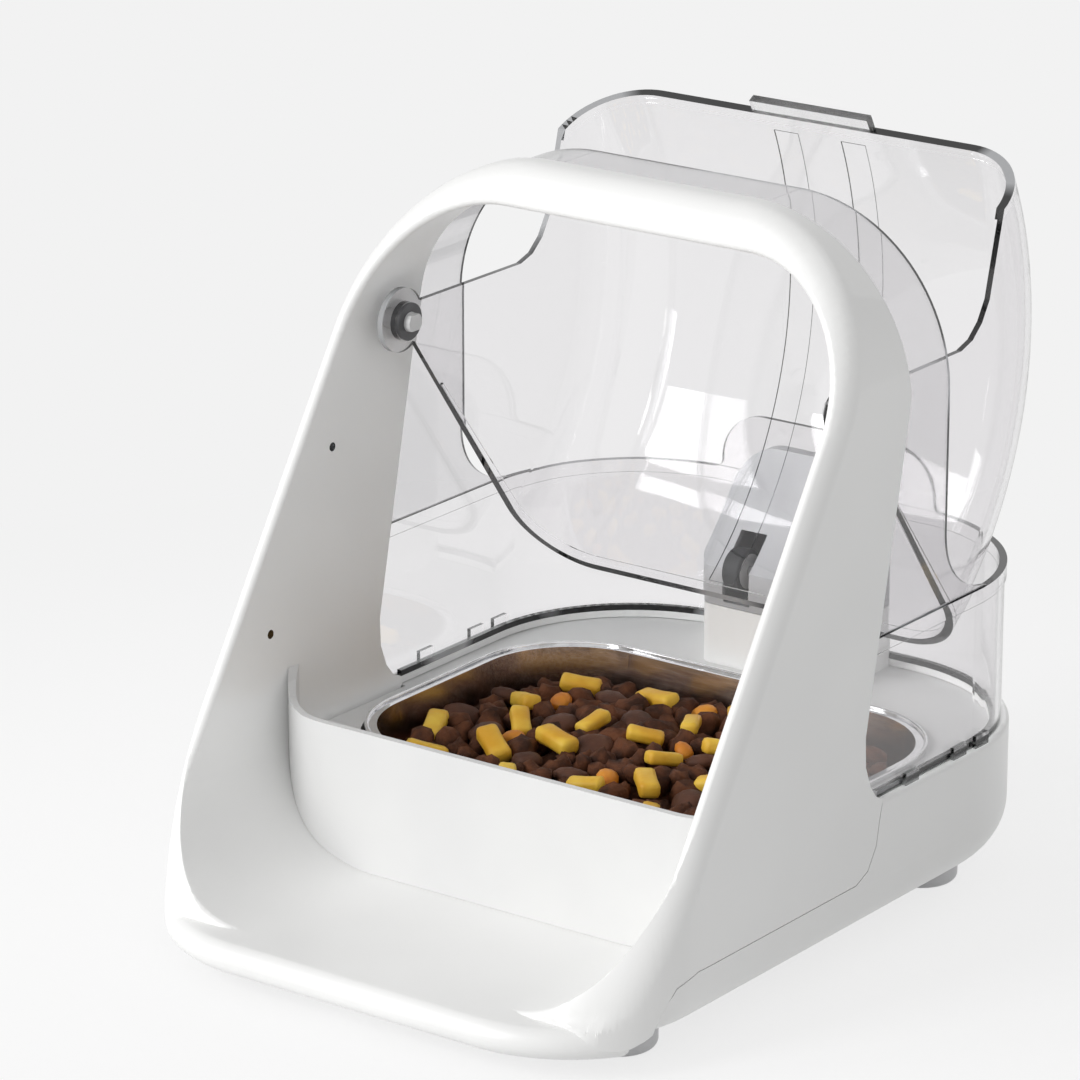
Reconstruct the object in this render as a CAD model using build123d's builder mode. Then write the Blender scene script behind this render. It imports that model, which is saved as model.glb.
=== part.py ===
from build123d import *
from math import cos, sin, radians, pi
import os

os.makedirs("parts", exist_ok=True)

# Feeder frame: X across, Y front to back, Z up, floor at zero.
# Overall housing sizes
width = 240.0
height = 288.0
rear_margin = 1.5
base_corner = 78.0
front_corner = 62.0
floor_gap = 11.0
bottom_round = 22.0
skin = 2.4
fit_gap = 0.3

# Swing axis of the lid, shared by lid, pins, column and drive
pivot_y = 8.0
pivot_drop = 69.0
pivot_z = height - pivot_drop

# Arch: a leaning ring, open to the rear between its two skins
lean = 0.64
front_y_at_pivot = -24.5
arch_top_round = 72.0
leg_wall = 8.0
crown_wall = 16.4
opening_half = width / 2 - leg_wall
opening_bottom = 21.3
opening_top = height - crown_wall
opening_top_round = 55.0
opening_bottom_round = 53.0
liner_skin = 2.2
rim_round = 13.0
arch_bottom = 8.9
lip_reach = 4.24
lip_front_y = front_y_at_pivot - lean * (pivot_z - arch_bottom) - lip_reach
lip_depth = 28.0
rim_depth = 12.0
opening_edge_round = 2.5
liner_end_y = -60.0
arch_rear_y = 30.0
bend_rise = 5.0
arch_rear_bend_z = pivot_z + bend_rise
arch_rear_low_y = 2.5
arch_rear_low_z = 95.0
arch_foot_y = 15.5
seam_z = 36.5
seam_gap = 0.4

# Base ledge, deck and apron
ledge_z = 66.0
deck_z = 62.8
deck_skin = 2.5
apron_front_y = -72.0
apron_z = 79.0
apron_wall = 3.0
apron_corner = 34.0
apron_seat = 7.0

# Bowl, a rolled rim over a tapered pan
bowl_margin = 14.0
bowl_front_gap = 23.0
bowl_rear_gap = 8.5
bowl_corner = 45.0
bowl_rim_roll = 1.2
bowl_rim_reach = 4.0
bowl_depth = 42.0
bowl_taper = 9.0
bowl_sheet = 0.9
bowl_bottom_round = 13.0
well_gap = 1.6
finger_gap = 6.5
well_wall = 2.0

# Clear parts
clear_wall = 2.2
clear_inset = 3.0
clear_half = width / 2 - clear_inset
ledge_width = 5.5
rail_width = 2.2
enclosure_top = 131.0
band_height = 6.0
band_extra = 0.8
hump_half = 50.0
hump_top = 156.0
collar_rear_y = 61.0
collar_flare = 30.0
slot_depth = 9.0
collar_drop = 2.8
collar_top = height - collar_drop
leg_slope = (arch_rear_y - arch_rear_low_y) / (arch_rear_bend_z - arch_rear_low_z)
tooth_spots = [38.0, 72.0, 88.0]

# Lid: a scoop of one radius about the swing axis
lid_side_gap = 11.0
lid_half = clear_half - lid_side_gap
lid_deck_gap = 4.2
lid_radius = pivot_z - deck_z - lid_deck_gap
lid_wall = 2.4
lid_corner = 32.0
lid_low_angle = -53.5
lid_high_angle = 27.5
lid_rim_extra = 1.2
lid_rim_angle = 1.6
ear_radius = 13.0
ear_edge_z = 5.5
ear_hub = 5.0
hub_wall = 2.0
track_x = 16.0
track_width = 11.5
track_depth = 0.7
track_low_angle = -51.0
track_high_angle = 24.0
tab_half = 28.0
tab_angle = 2.4

# Swing pins and their bushes
pin_radius = 4.0
pin_length = 18.0
bush_wall = 1.8
bush_collar = 7.6
running_gap = 0.05

# Rear column with the lid drive
column_half = 33.0
column_nose = 6.4
column_rise = 44.3
split_drop = 14.7
column_wall = 2.2
column_gap = 3.2
column_round = 9.0
roller_radius = 9.0
roller_width = 8.0
tyre_wall = 1.8
roller_angle = -46.5
axle_radius = 2.0
axle_gear_pitch = 7.0
idler_pitch = 9.0
pinion_pitch = 5.0
gear_width = 3.0
gear_x = 10.1
gear_module = 1.0
motor_radius = 10.5
motor_length = 24.0

# Feet, batteries, boards
foot_radius = 15.0
foot_side_inset = 35.0
foot_front_inset = 55.2
foot_rear_inset = 63.5
cell_radius = 7.1
cell_length = 50.0
board_thick = 1.6
board_length = 40.0
board_width = 28.0
board_lift = 5.0
button_board_length = 44.0
screw_head = 3.0

sensor_radius = 1.8
sensor_set_backs = [(26.8, 174.0), (29.4, 107.5)]

# Battery hatch, power socket and buttons
hatch_x = -36.5
hatch_rear_inset = 41.5
hatch_length = 60.0
hatch_width = 29.0
socket_x = 36.0
socket_radius = 5.5
rear_port_z = 46.0
button_spots = [-12.0, 12.0]
button_radius = 4.0

half = width / 2
pivot_axis = Axis((0, pivot_y, pivot_z), (1, 0, 0))


def front_y(z, back=0.0):
    # front plane of the arch at height z, moved back along Y
    return front_y_at_pivot + lean * (z - pivot_z) + back


def polar(radius, angle):
    # point in the side view at a radius and angle about the swing axis
    return (pivot_y + radius * cos(radians(angle)), pivot_z + radius * sin(radians(angle)))


def radial_plane(angle):
    # plane through the swing axis, its local y pointing outward at the angle
    a = radians(angle)
    return Plane(origin=(0, pivot_y, pivot_z), x_dir=(1, 0, 0), z_dir=(0, -sin(a), cos(a)))


def at(items, y=None, z=None, tol=0.05):
    # edges whose centre lies at the given coordinates
    return [
        e
        for e in items
        if (y is None or abs(e.center().Y - y) < tol) and (z is None or abs(e.center().Z - z) < tol)
    ]


def block(w, low, high):
    # centred rectangle between two heights of the sketch
    with Locations((0, (low + high) / 2)):
        Rectangle(w, high - low)


def side(*points):
    # closed outline in the side view
    Polygon(*points, align=None)


# Places that follow from the sizes above
roller_reach = lid_radius - track_depth + roller_radius + running_gap
roller_y, roller_z = polar(roller_reach, roller_angle)
column_front_y = roller_y - column_nose
column_top = roller_z + column_rise
column_split = roller_z - split_drop
base_rear_y = pivot_y + lid_radius + rear_margin
enclosure_rear_y = base_rear_y - ledge_width
enclosure_corner = base_corner - ledge_width - 0.5
column_rear_y = enclosure_rear_y - clear_wall - rail_width - 0.4
bowl_width = 2 * (clear_half - bowl_margin)
bowl_front_y = apron_front_y + bowl_front_gap
bowl_rear_y = column_front_y - bowl_rear_gap
hatch_y = base_rear_y - hatch_rear_inset
sensor_spots = [(front_y(z, set_back), z) for set_back, z in sensor_set_backs]


def ring_section(sketch, half_width, low, high, low_round, high_round):
    # front-view section with round corners, larger ones at the top
    block(2 * half_width, low, high)
    fillet(sketch.vertices().group_by(Axis.Y)[-1], high_round)
    fillet(sketch.vertices().group_by(Axis.Y)[0], low_round)


def plan_section(sketch, half_width, front, rear, rear_round):
    # plan outline, square in front and round at the rear
    block(2 * half_width, front, rear)
    fillet(sketch.vertices().group_by(Axis.Y)[-1], rear_round)


def footprint(sketch, inset):
    # outline of the feeder on the floor, drawn inwards by a wall thickness
    block(2 * (half - inset), lip_front_y + inset, base_rear_y - inset)
    fillet(sketch.vertices().group_by(Axis.Y)[-1], base_corner - inset)
    fillet(sketch.vertices().group_by(Axis.Y)[0], front_corner - inset)


def rear_edge(shift):
    # rear edge of the arch legs in the side view, from the top down
    return [
        (arch_rear_y + shift, height + 20),
        (arch_rear_y + shift, arch_rear_bend_z),
        (arch_rear_low_y + shift, arch_rear_low_z),
    ]


# Joint line between arch and base in the side view, front to rear
seam_side = [
    (-136.0, -5.0),
    (-124.0, floor_gap + 13.0),
    (-117.0, seam_z - 3.5),
    (-106.0, seam_z),
    (-2.0, seam_z),
    (6.0, seam_z + 3.5),
    (11.5, seam_z + 12.0),
    (13.5, seam_z + 22.0),
    (arch_foot_y, ledge_z),
]

foot_x = half - foot_side_inset
foot_rows = (lip_front_y + foot_front_inset, base_rear_y - foot_rear_inset)
foot_spots = [(x, y) for y in foot_rows for x in (-foot_x, foot_x)]
well_half = bowl_width / 2 - bowl_rim_reach + well_gap
well_corner = bowl_corner - bowl_rim_reach + well_gap
well_front = bowl_front_y + bowl_rim_reach - well_gap - finger_gap
well_rear = bowl_rear_y - bowl_rim_reach + well_gap
well_floor = deck_z + bowl_rim_roll - bowl_depth - well_gap
post_rows = [(well_half - 14.6, well_front + 1.1), (well_half - 28, well_rear + 14.9)]
post_spots = [(s * x, y) for x, y in post_rows for s in (-1, 1)]

# Base shell, a tub behind the seam with a ledge round its top
with BuildPart() as base_hollow:
    with BuildSketch(Plane.XY.offset(floor_gap + skin)) as outline:
        footprint(outline, skin)
    extrude(amount=deck_z + fit_gap - floor_gap - skin)
    fillet(at(base_hollow.edges(), z=floor_gap + skin), bottom_round - skin)

with BuildPart() as base_shell:
    with BuildSketch(Plane.XY.offset(floor_gap)) as outline:
        footprint(outline, 0)
    extrude(amount=ledge_z - floor_gap)
    fillet(at(base_shell.edges(), z=floor_gap), bottom_round)
    fillet(at(base_shell.edges(), z=ledge_z), 2.0)
    add(base_hollow.part, mode=Mode.SUBTRACT)
    with BuildSketch(Plane.XY.offset(deck_z - 1)) as outline:
        plan_section(outline, clear_half - 4.6, lip_front_y, enclosure_rear_y - 4.6, enclosure_corner - 4.6)
    extrude(amount=10, mode=Mode.SUBTRACT)
    with BuildSketch(Plane.YZ):
        side((-170, -5), *seam_side, (arch_foot_y, ledge_z + 20), (-170, ledge_z + 20))
    extrude(amount=half + 5, both=True, mode=Mode.SUBTRACT)
    with Locations([(x, y, floor_gap) for x, y in foot_spots]):
        Cylinder(4.1, 12, mode=Mode.SUBTRACT)
    with Locations([(x, y, floor_gap) for x, y in post_spots]):
        Cylinder(1.8, 12, mode=Mode.SUBTRACT)
    # battery hatch, socket and button openings
    with Locations((hatch_x, hatch_y, floor_gap)):
        Box(hatch_length + 2 * fit_gap, hatch_width + 2 * fit_gap, 12, mode=Mode.SUBTRACT)
    with Locations((socket_x, base_rear_y, rear_port_z)):
        Cylinder(socket_radius + 0.2, 12, rotation=(90, 0, 0), mode=Mode.SUBTRACT)
    with Locations([(x, base_rear_y, rear_port_z) for x in button_spots]):
        Cylinder(button_radius + 0.15, 12, rotation=(90, 0, 0), mode=Mode.SUBTRACT)
base_shell.part.label = "base_shell"
export_step(base_shell.part, "parts/base_shell.step")


def leg_side(shift, drop):
    # side outline of the arch legs down to the ledge, front plane to rear edge
    return [
        (front_y(-20, shift), -20),
        (front_y(height + 20, shift), height + 20),
        *rear_edge(drop),
        (arch_rear_low_y + 0.5 + drop, arch_rear_low_z - 12),
        (arch_rear_low_y + 4 + drop, arch_rear_low_z - 21),
        (arch_rear_low_y + 8 + drop, arch_rear_low_z - 26),
        (arch_foot_y + drop - 0.4, ledge_z + 0.4),
    ]


arch_low_round = bottom_round + floor_gap - arch_bottom

# Space under the deck, inside the apron, that the arch leaves free
with BuildPart() as under_deck:
    with BuildSketch() as outline:
        block(2 * (clear_half - apron_seat), apron_front_y + apron_seat, 40)
        fillet(outline.vertices().group_by(Axis.Y)[0], apron_corner - apron_seat)
    extrude(amount=deck_z + 0.2)

# Front lip, the rounded edge of the porch floor
with BuildPart() as front_lip:
    with BuildSketch(Plane.XY.offset(arch_bottom)) as outline:
        footprint(outline, 0)
    extrude(amount=opening_bottom - arch_bottom)
    fillet(front_lip.faces().filter_by(Axis.Z).edges(), (opening_bottom - arch_bottom) / 2 - 0.01)
    with Locations((0, lip_front_y + lip_depth / 2, height / 2)):
        Box(width, lip_depth, height, mode=Mode.INTERSECT)

# Space between the two skins of the arch
with BuildPart() as arch_cavity:
    with BuildSketch(Plane.XZ) as face:
        ring_section(face, half - skin, arch_bottom + skin, height - skin, arch_low_round - skin, arch_top_round - skin)
    extrude(amount=220, both=True)
    with BuildSketch() as outline:
        footprint(outline, skin)
    extrude(amount=height, mode=Mode.INTERSECT)
    with BuildSketch(Plane.XZ) as face:
        ring_section(
            face,
            opening_half + liner_skin,
            opening_bottom - liner_skin,
            opening_top + liner_skin,
            opening_bottom_round + liner_skin,
            opening_top_round + liner_skin,
        )
    extrude(amount=220, both=True, mode=Mode.SUBTRACT)
    with BuildSketch(Plane.YZ):
        side(
            (front_y(-20, rim_depth), -20),
            (front_y(200, rim_depth), 200),
            (front_y(opening_top + 2.4, 7), opening_top + 2.4),
            (front_y(opening_top + 7.4, 5.5), opening_top + 7.4),
            (arch_rear_y - 4, height - 4),
            (arch_rear_y - 4, height + 20),
            (200, height + 20),
            (200, -20),
        )
    extrude(amount=half + 5, both=True, mode=Mode.INTERSECT)

# Inner skin of the arch with the porch floor, ending under the deck
with BuildPart() as arch_liner:
    with BuildSketch(Plane.XZ) as face:
        ring_section(
            face,
            opening_half + liner_skin,
            opening_bottom - liner_skin,
            opening_top + liner_skin,
            opening_bottom_round + liner_skin,
            opening_top_round + liner_skin,
        )
    extrude(amount=220, both=True)
    with BuildSketch(Plane.XZ) as face:
        ring_section(face, opening_half, opening_bottom, opening_top, opening_bottom_round, opening_top_round)
    extrude(amount=220, both=True, mode=Mode.SUBTRACT)
    with BuildSketch(Plane.YZ):
        side(*leg_side(8, 0), (arch_foot_y - 1.4, deck_z - 20), (arch_foot_y - 1.4, -20))
    extrude(amount=half + 5, both=True, mode=Mode.INTERSECT)
    add(under_deck.part, mode=Mode.SUBTRACT)
    with BuildSketch(Plane.YZ):
        side((-200, -20), (-200, height), (40, height), (40, deck_z + 0.2), (liner_end_y, deck_z + 0.2), (liner_end_y, -20))
    extrude(amount=half + 5, both=True, mode=Mode.INTERSECT)

# Lip that closes the arch at the rear above the clear collar
with BuildPart() as rear_lip:
    with BuildSketch(Plane.XZ) as face:
        ring_section(face, clear_half - clear_wall - 0.3, 0, collar_top - clear_wall - 0.3, 20, arch_top_round - 5.7)
    extrude(amount=60, both=True)
    with BuildSketch(Plane.XZ) as face:
        ring_section(face, opening_half + 1, 0, opening_top + 1, 20, opening_top_round + 1)
    extrude(amount=60, both=True, mode=Mode.SUBTRACT)
    with BuildSketch(Plane.YZ):
        side(
            (arch_rear_y - 2.4, arch_rear_bend_z + 8),
            (arch_rear_y - 2.4, height),
            (arch_rear_y, height),
            (arch_rear_y, arch_rear_bend_z + 8),
        )
    extrude(amount=half, both=True, mode=Mode.INTERSECT)

# Arch shell, front rim with outer and inner skin and a bowed lip
with BuildPart() as arch_shell:
    with BuildSketch(Plane.XZ) as face:
        ring_section(face, half, arch_bottom, height, arch_low_round, arch_top_round)
    extrude(amount=220, both=True)
    with BuildSketch(Plane.YZ):
        side(
            *leg_side(0, 0),
            *[(y - seam_gap, z + seam_gap) for y, z in reversed(seam_side[1:-1])],
            (-136.4, -5),
            (-150, -20),
        )
    extrude(amount=half + 5, both=True, mode=Mode.INTERSECT)
    rim_face = [f for f in arch_shell.faces() if f.normal_at().Y < -0.7 and f.area > 50000][0]
    fillet(rim_face.outer_wire().edges(), rim_round)
    with BuildSketch() as outline:
        footprint(outline, 0)
    extrude(amount=height, mode=Mode.INTERSECT)
    with BuildSketch(Plane.XZ) as face:
        ring_section(face, opening_half, opening_bottom, opening_top, opening_bottom_round, opening_top_round)
    extrude(amount=220, both=True, mode=Mode.SUBTRACT)
    cut_edges = arch_shell.edges(Select.LAST)
    front_edges = [e for e in cut_edges if e.center().Y - front_y(e.center().Z) < 4]
    fillet(front_edges, opening_edge_round)
    add(front_lip.part)
    add(arch_cavity.part, mode=Mode.SUBTRACT)
    add(under_deck.part, mode=Mode.SUBTRACT)
    add(arch_liner.part)
    add(rear_lip.part)
    with Locations([(side_sign * opening_half, y, z) for side_sign in (-1, 1) for y, z in sensor_spots]):
        Cylinder(sensor_radius + 0.05, 12, rotation=(0, 90, 0), mode=Mode.SUBTRACT)
    with Locations([(side_sign * (opening_half + 1), pivot_y, pivot_z) for side_sign in (-1, 1)]):
        Cylinder(pin_radius + 0.02, 5, rotation=(0, 90, 0), mode=Mode.SUBTRACT)
arch_shell.part.label = "arch_shell"
export_step(arch_shell.part, "parts/arch_shell.step")

apron_foot_y = apron_front_y + apron_corner - 2

# Deck tray, the apron, the deck and the well the bowl sits in
with BuildPart() as apron:
    with BuildSketch(Plane.XY.offset(10)) as outline:
        block(2 * clear_half, apron_front_y, 60)
        fillet(outline.vertices().group_by(Axis.Y)[0], apron_corner)
    extrude(amount=120)
    with BuildSketch(Plane.XY.offset(10)) as outline:
        block(2 * (clear_half - apron_wall), apron_front_y + apron_wall, 70)
        fillet(outline.vertices().group_by(Axis.Y)[0], apron_corner - apron_wall)
    extrude(amount=120, mode=Mode.SUBTRACT)
    with BuildSketch(Plane.XZ):
        Polygon(
            (-opening_half, 0),
            (opening_half, 0),
            (opening_half, apron_z + 12),
            (opening_half - 2.5, apron_z + 7),
            (opening_half - 6.5, apron_z + 3),
            (opening_half - 12, apron_z + 0.8),
            (opening_half - 18, apron_z),
            (-opening_half + 18, apron_z),
            (-opening_half + 12, apron_z + 0.8),
            (-opening_half + 6.5, apron_z + 3),
            (-opening_half + 2.5, apron_z + 7),
            (-opening_half, apron_z + 12),
            align=None,
        )
    extrude(amount=120, both=True, mode=Mode.INTERSECT)
    with BuildSketch(Plane.XZ) as face:
        ring_section(
            face,
            opening_half - 0.2,
            opening_bottom + 0.1,
            opening_top,
            opening_bottom_round - 0.2,
            opening_top_round,
        )
    extrude(amount=120, both=True, mode=Mode.INTERSECT)
    with BuildSketch(Plane.YZ):
        side((-200, 0), (-200, 200), (30, 200), (30, deck_z - 2), (apron_foot_y, deck_z - 2), (apron_foot_y, 0))
    extrude(amount=half, both=True, mode=Mode.INTERSECT)

with BuildPart() as deck_tray:
    with BuildSketch(Plane.XY.offset(deck_z - deck_skin)) as outline:
        block(2 * (clear_half - 0.2), apron_front_y + 1, enclosure_rear_y - 0.2)
        fillet(outline.vertices().group_by(Axis.Y)[-1], enclosure_corner - 0.2)
        fillet(outline.vertices().group_by(Axis.Y)[0], apron_corner - 1)
    extrude(amount=deck_skin)
    for side_sign in (-1, 1):
        with Locations((side_sign * (half - 2), (arch_foot_y + apron_front_y) / 2, deck_z)):
            Box(
                2 * (half - 2 - opening_half + 2.3),
                arch_foot_y - apron_front_y + 0.8,
                20,
                mode=Mode.SUBTRACT,
            )
    with BuildSketch(Plane.XY.offset(well_floor - well_wall)) as outline:
        block(2 * (well_half + well_wall), well_front - well_wall, well_rear + well_wall)
        fillet(outline.vertices(), well_corner + well_wall)
    extrude(amount=deck_z - well_floor + well_wall)
    with BuildSketch(Plane.XY.offset(well_floor)) as outline:
        block(2 * well_half, well_front, well_rear)
        fillet(outline.vertices(), well_corner)
    extrude(amount=deck_z, mode=Mode.SUBTRACT)
    add(apron.part)
    for x, y in post_spots:
        with Locations((x, y, (floor_gap + skin + deck_z - 1) / 2)):
            Cylinder(4.5, deck_z - 1 - floor_gap - skin)
        with Locations((x, y, floor_gap + skin)):
            Cylinder(1.5, 30, mode=Mode.SUBTRACT)
    with Locations((0, 137, deck_z)):
        Box(26, 12, 12, mode=Mode.SUBTRACT)
deck_tray.part.label = "deck_tray"
export_step(deck_tray.part, "parts/deck_tray.step")

# Bowl, a tapered pan with a rolled rim
with BuildPart() as bowl_inside:
    with BuildSketch(Plane.XY.offset(deck_z + bowl_rim_roll)) as outline:
        block(
            bowl_width - 2 * bowl_rim_reach - 2 * bowl_sheet,
            bowl_front_y + bowl_rim_reach + bowl_sheet,
            bowl_rear_y - bowl_rim_reach - bowl_sheet,
        )
        fillet(outline.vertices(), bowl_corner - bowl_rim_reach - bowl_sheet)
    extrude(amount=bowl_sheet - bowl_depth, taper=bowl_taper)
    fillet(bowl_inside.faces().sort_by(Axis.Z)[0].edges(), bowl_bottom_round - bowl_sheet)

with BuildPart() as bowl:
    with BuildSketch(Plane.XY.offset(deck_z + bowl_rim_roll)) as outline:
        block(bowl_width - 2 * bowl_rim_reach, bowl_front_y + bowl_rim_reach, bowl_rear_y - bowl_rim_reach)
        fillet(outline.vertices(), bowl_corner - bowl_rim_reach)
    extrude(amount=-bowl_depth, taper=bowl_taper)
    fillet(bowl.faces().sort_by(Axis.Z)[0].edges(), bowl_bottom_round)
    add(bowl_inside.part, mode=Mode.SUBTRACT)
    with BuildSketch(Plane.XY.offset(deck_z + bowl_rim_roll - bowl_sheet)) as outline:
        block(bowl_width, bowl_front_y, bowl_rear_y)
        fillet(outline.vertices(), bowl_corner)
        with Locations((0, (bowl_front_y + bowl_rear_y) / 2)):
            RectangleRounded(
                bowl_width - 2 * bowl_rim_reach - 2 * bowl_sheet,
                bowl_rear_y - bowl_front_y - 2 * bowl_rim_reach - 2 * bowl_sheet,
                bowl_corner - bowl_rim_reach - bowl_sheet,
                mode=Mode.SUBTRACT,
            )
    extrude(amount=bowl_sheet)
    with BuildSketch(Plane.XY.offset(deck_z)) as outline:
        block(bowl_width, bowl_front_y, bowl_rear_y)
        fillet(outline.vertices(), bowl_corner)
        with Locations((0, (bowl_front_y + bowl_rear_y) / 2)):
            RectangleRounded(
                bowl_width - 2 * bowl_rim_roll - 1,
                bowl_rear_y - bowl_front_y - 2 * bowl_rim_roll - 1,
                bowl_corner - bowl_rim_roll - 0.5,
                mode=Mode.SUBTRACT,
            )
    extrude(amount=2 * bowl_rim_roll)
    rim_edges = [e for e in bowl.edges() if e.center().Z > deck_z + 2 * bowl_rim_roll - 0.01]
    fillet(rim_edges, 0.8)
bowl.part.label = "bowl"
export_step(bowl.part, "parts/bowl.step")

# Rear enclosure, a clear wall round the back of the deck with a raised hump
with BuildPart() as rear_enclosure:
    with BuildSketch(Plane.XY.offset(ledge_z)) as outline:
        plan_section(outline, clear_half, -40, enclosure_rear_y, enclosure_corner)
    extrude(amount=hump_top - ledge_z)
    with BuildSketch(Plane.XY.offset(enclosure_top - band_height)) as outline:
        plan_section(
            outline,
            clear_half + band_extra,
            arch_rear_low_y + 10,
            enclosure_rear_y + band_extra,
            enclosure_corner + band_extra,
        )
    extrude(amount=band_height)
    with BuildSketch(Plane.XY.offset(ledge_z - 1)) as outline:
        plan_section(
            outline,
            clear_half - clear_wall,
            -60,
            enclosure_rear_y - clear_wall,
            enclosure_corner - clear_wall,
        )
    extrude(amount=hump_top, mode=Mode.SUBTRACT)
    with BuildSketch(Plane.XZ) as face:
        block(2 * half, ledge_z, enclosure_top)
        block(2 * hump_half, enclosure_top, hump_top)
        fillet(face.vertices().group_by(Axis.Y)[-1], 20)
        fillet([v for v in face.vertices() if abs(abs(v.X) - hump_half) < 0.1 and v.Y < enclosure_top + 1], 4)
    extrude(amount=200, both=True, mode=Mode.INTERSECT)
    # foot rail standing on the ledge
    with BuildSketch(Plane.XY.offset(ledge_z)) as outline:
        plan_section(outline, clear_half, arch_foot_y + 1.5, enclosure_rear_y, enclosure_corner)
    extrude(amount=2.4)
    with BuildSketch(Plane.XY.offset(ledge_z)) as outline:
        plan_section(
            outline,
            clear_half - clear_wall - rail_width,
            -60,
            enclosure_rear_y - clear_wall - rail_width,
            enclosure_corner - clear_wall - rail_width,
        )
    extrude(amount=2.4, mode=Mode.SUBTRACT)
    with BuildSketch(Plane.YZ):
        side(
            (-60, 0),
            (-60, 300),
            (arch_rear_y - slot_depth, 300),
            (arch_rear_y - slot_depth, arch_rear_bend_z),
            (arch_rear_low_y - slot_depth, arch_rear_low_z),
            (arch_rear_low_y - slot_depth, 0),
        )
    extrude(amount=half + 5, both=True, mode=Mode.SUBTRACT)
    # snap teeth along the foot
    with Locations([(s * (clear_half + 0.6), y, ledge_z + 2.5) for s in (-1, 1) for y in tooth_spots]):
        Box(2.2, 9, 5)
rear_enclosure.part.label = "rear_enclosure"
export_step(rear_enclosure.part, "parts/rear_enclosure.step")

# Hood collar, a short clear tunnel behind the arch flaring onto the enclosure
with BuildPart() as hood_collar:
    with BuildSketch(Plane.XZ) as face:
        ring_section(face, clear_half, 60, collar_top, 5, arch_top_round - 3)
    extrude(amount=200, both=True)
    with BuildSketch(Plane.XZ) as face:
        ring_section(face, clear_half - clear_wall, 50, collar_top - clear_wall, 5, arch_top_round - 3 - clear_wall)
    extrude(amount=200, both=True, mode=Mode.SUBTRACT)
    with BuildSketch(Plane.YZ):
        with BuildLine():
            Polyline(
                (collar_rear_y + collar_flare, enclosure_top + fit_gap),
                (arch_rear_low_y + (enclosure_top - arch_rear_low_z) * leg_slope - slot_depth, enclosure_top + fit_gap),
                (arch_rear_y - slot_depth, arch_rear_bend_z),
                (arch_rear_y - slot_depth + 1, opening_top - 20),
                (arch_rear_y - 3, opening_top - 5),
                (arch_rear_y - 3, height + 10),
                (collar_rear_y, height + 10),
                (collar_rear_y, enclosure_top + collar_flare),
            )
            Spline(
                (collar_rear_y, enclosure_top + collar_flare),
                (collar_rear_y + 0.3 * collar_flare, enclosure_top + 0.3 * collar_flare),
                (collar_rear_y + collar_flare, enclosure_top + fit_gap),
                tangents=[(0, -1), (1, -0.12)],
            )
        make_face()
    extrude(amount=half + 5, both=True, mode=Mode.INTERSECT)
hood_collar.part.label = "hood_collar"
export_step(hood_collar.part, "parts/hood_collar.step")

# Lid, a clear scoop turned about the swing axis
with BuildPart() as lid_inside:
    with BuildSketch(radial_plane(lid_low_angle - 5)) as outline:
        block(2 * (lid_half - lid_wall), 0, lid_radius - lid_wall)
        fillet(outline.vertices().group_by(Axis.Y)[-1], lid_corner - lid_wall)
    revolve(axis=pivot_axis, revolution_arc=lid_high_angle - lid_low_angle + 10)

with BuildPart() as lid:
    with BuildSketch(radial_plane(lid_low_angle)) as outline:
        block(2 * lid_half, 0, lid_radius)
        fillet(outline.vertices().group_by(Axis.Y)[-1], lid_corner)
    revolve(axis=pivot_axis, revolution_arc=lid_high_angle - lid_low_angle)
    add(lid_inside.part, mode=Mode.SUBTRACT)
    # thicker rims along both free edges
    for angle in (lid_low_angle, lid_high_angle - lid_rim_angle):
        with BuildSketch(radial_plane(angle)) as outline:
            block(2 * (lid_half - 0.5), 40, lid_radius - 0.5)
            fillet(outline.vertices().group_by(Axis.Y)[-1], lid_corner - 0.5)
        revolve(axis=pivot_axis, revolution_arc=lid_rim_angle)
        with BuildSketch(radial_plane(angle - 1)) as outline:
            block(2 * (lid_half - lid_wall - lid_rim_extra), 0, lid_radius - lid_wall - lid_rim_extra)
            fillet(outline.vertices().group_by(Axis.Y)[-1], lid_corner - lid_wall - lid_rim_extra)
        revolve(axis=pivot_axis, revolution_arc=lid_rim_angle + 2, mode=Mode.SUBTRACT)
    # upper edge of the side walls, level from the ear and then up to the rim
    with BuildSketch(Plane.YZ):
        side(
            (pivot_y - 40, pivot_z + ear_edge_z),
            (pivot_y + 78, pivot_z + ear_edge_z),
            (pivot_y + 86, pivot_z + ear_edge_z + 2.5),
            (pivot_y + 92.5, pivot_z + ear_edge_z + 8),
            (pivot_y + 97.5, pivot_z + ear_edge_z + 16),
            polar(lid_radius - lid_corner + 1, lid_high_angle + 0.5),
            polar(40, 60),
            (pivot_y - 40, pivot_z + 60),
        )
    extrude(amount=half, both=True, mode=Mode.SUBTRACT)
    with Locations([(s * (lid_half - lid_wall / 2), pivot_y, pivot_z) for s in (-1, 1)]):
        Cylinder(ear_radius, lid_wall, rotation=(0, 90, 0))
    with Locations([(s * (lid_half - ear_hub / 2), pivot_y, pivot_z) for s in (-1, 1)]):
        Cylinder(pin_radius + bush_wall + hub_wall, ear_hub, rotation=(0, 90, 0))
        Cylinder(pin_radius + bush_wall, ear_hub + 1, rotation=(0, 90, 0), mode=Mode.SUBTRACT)
    # shallow tracks for the drive rollers
    for side_sign in (-1, 1):
        with BuildSketch(radial_plane(track_low_angle)):
            with Locations((side_sign * track_x, lid_radius)):
                Rectangle(track_width, 2 * track_depth)
        revolve(axis=pivot_axis, revolution_arc=track_high_angle - track_low_angle, mode=Mode.SUBTRACT)
lid.part.label = "lid"
export_step(lid.part, "parts/lid.step")

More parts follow.
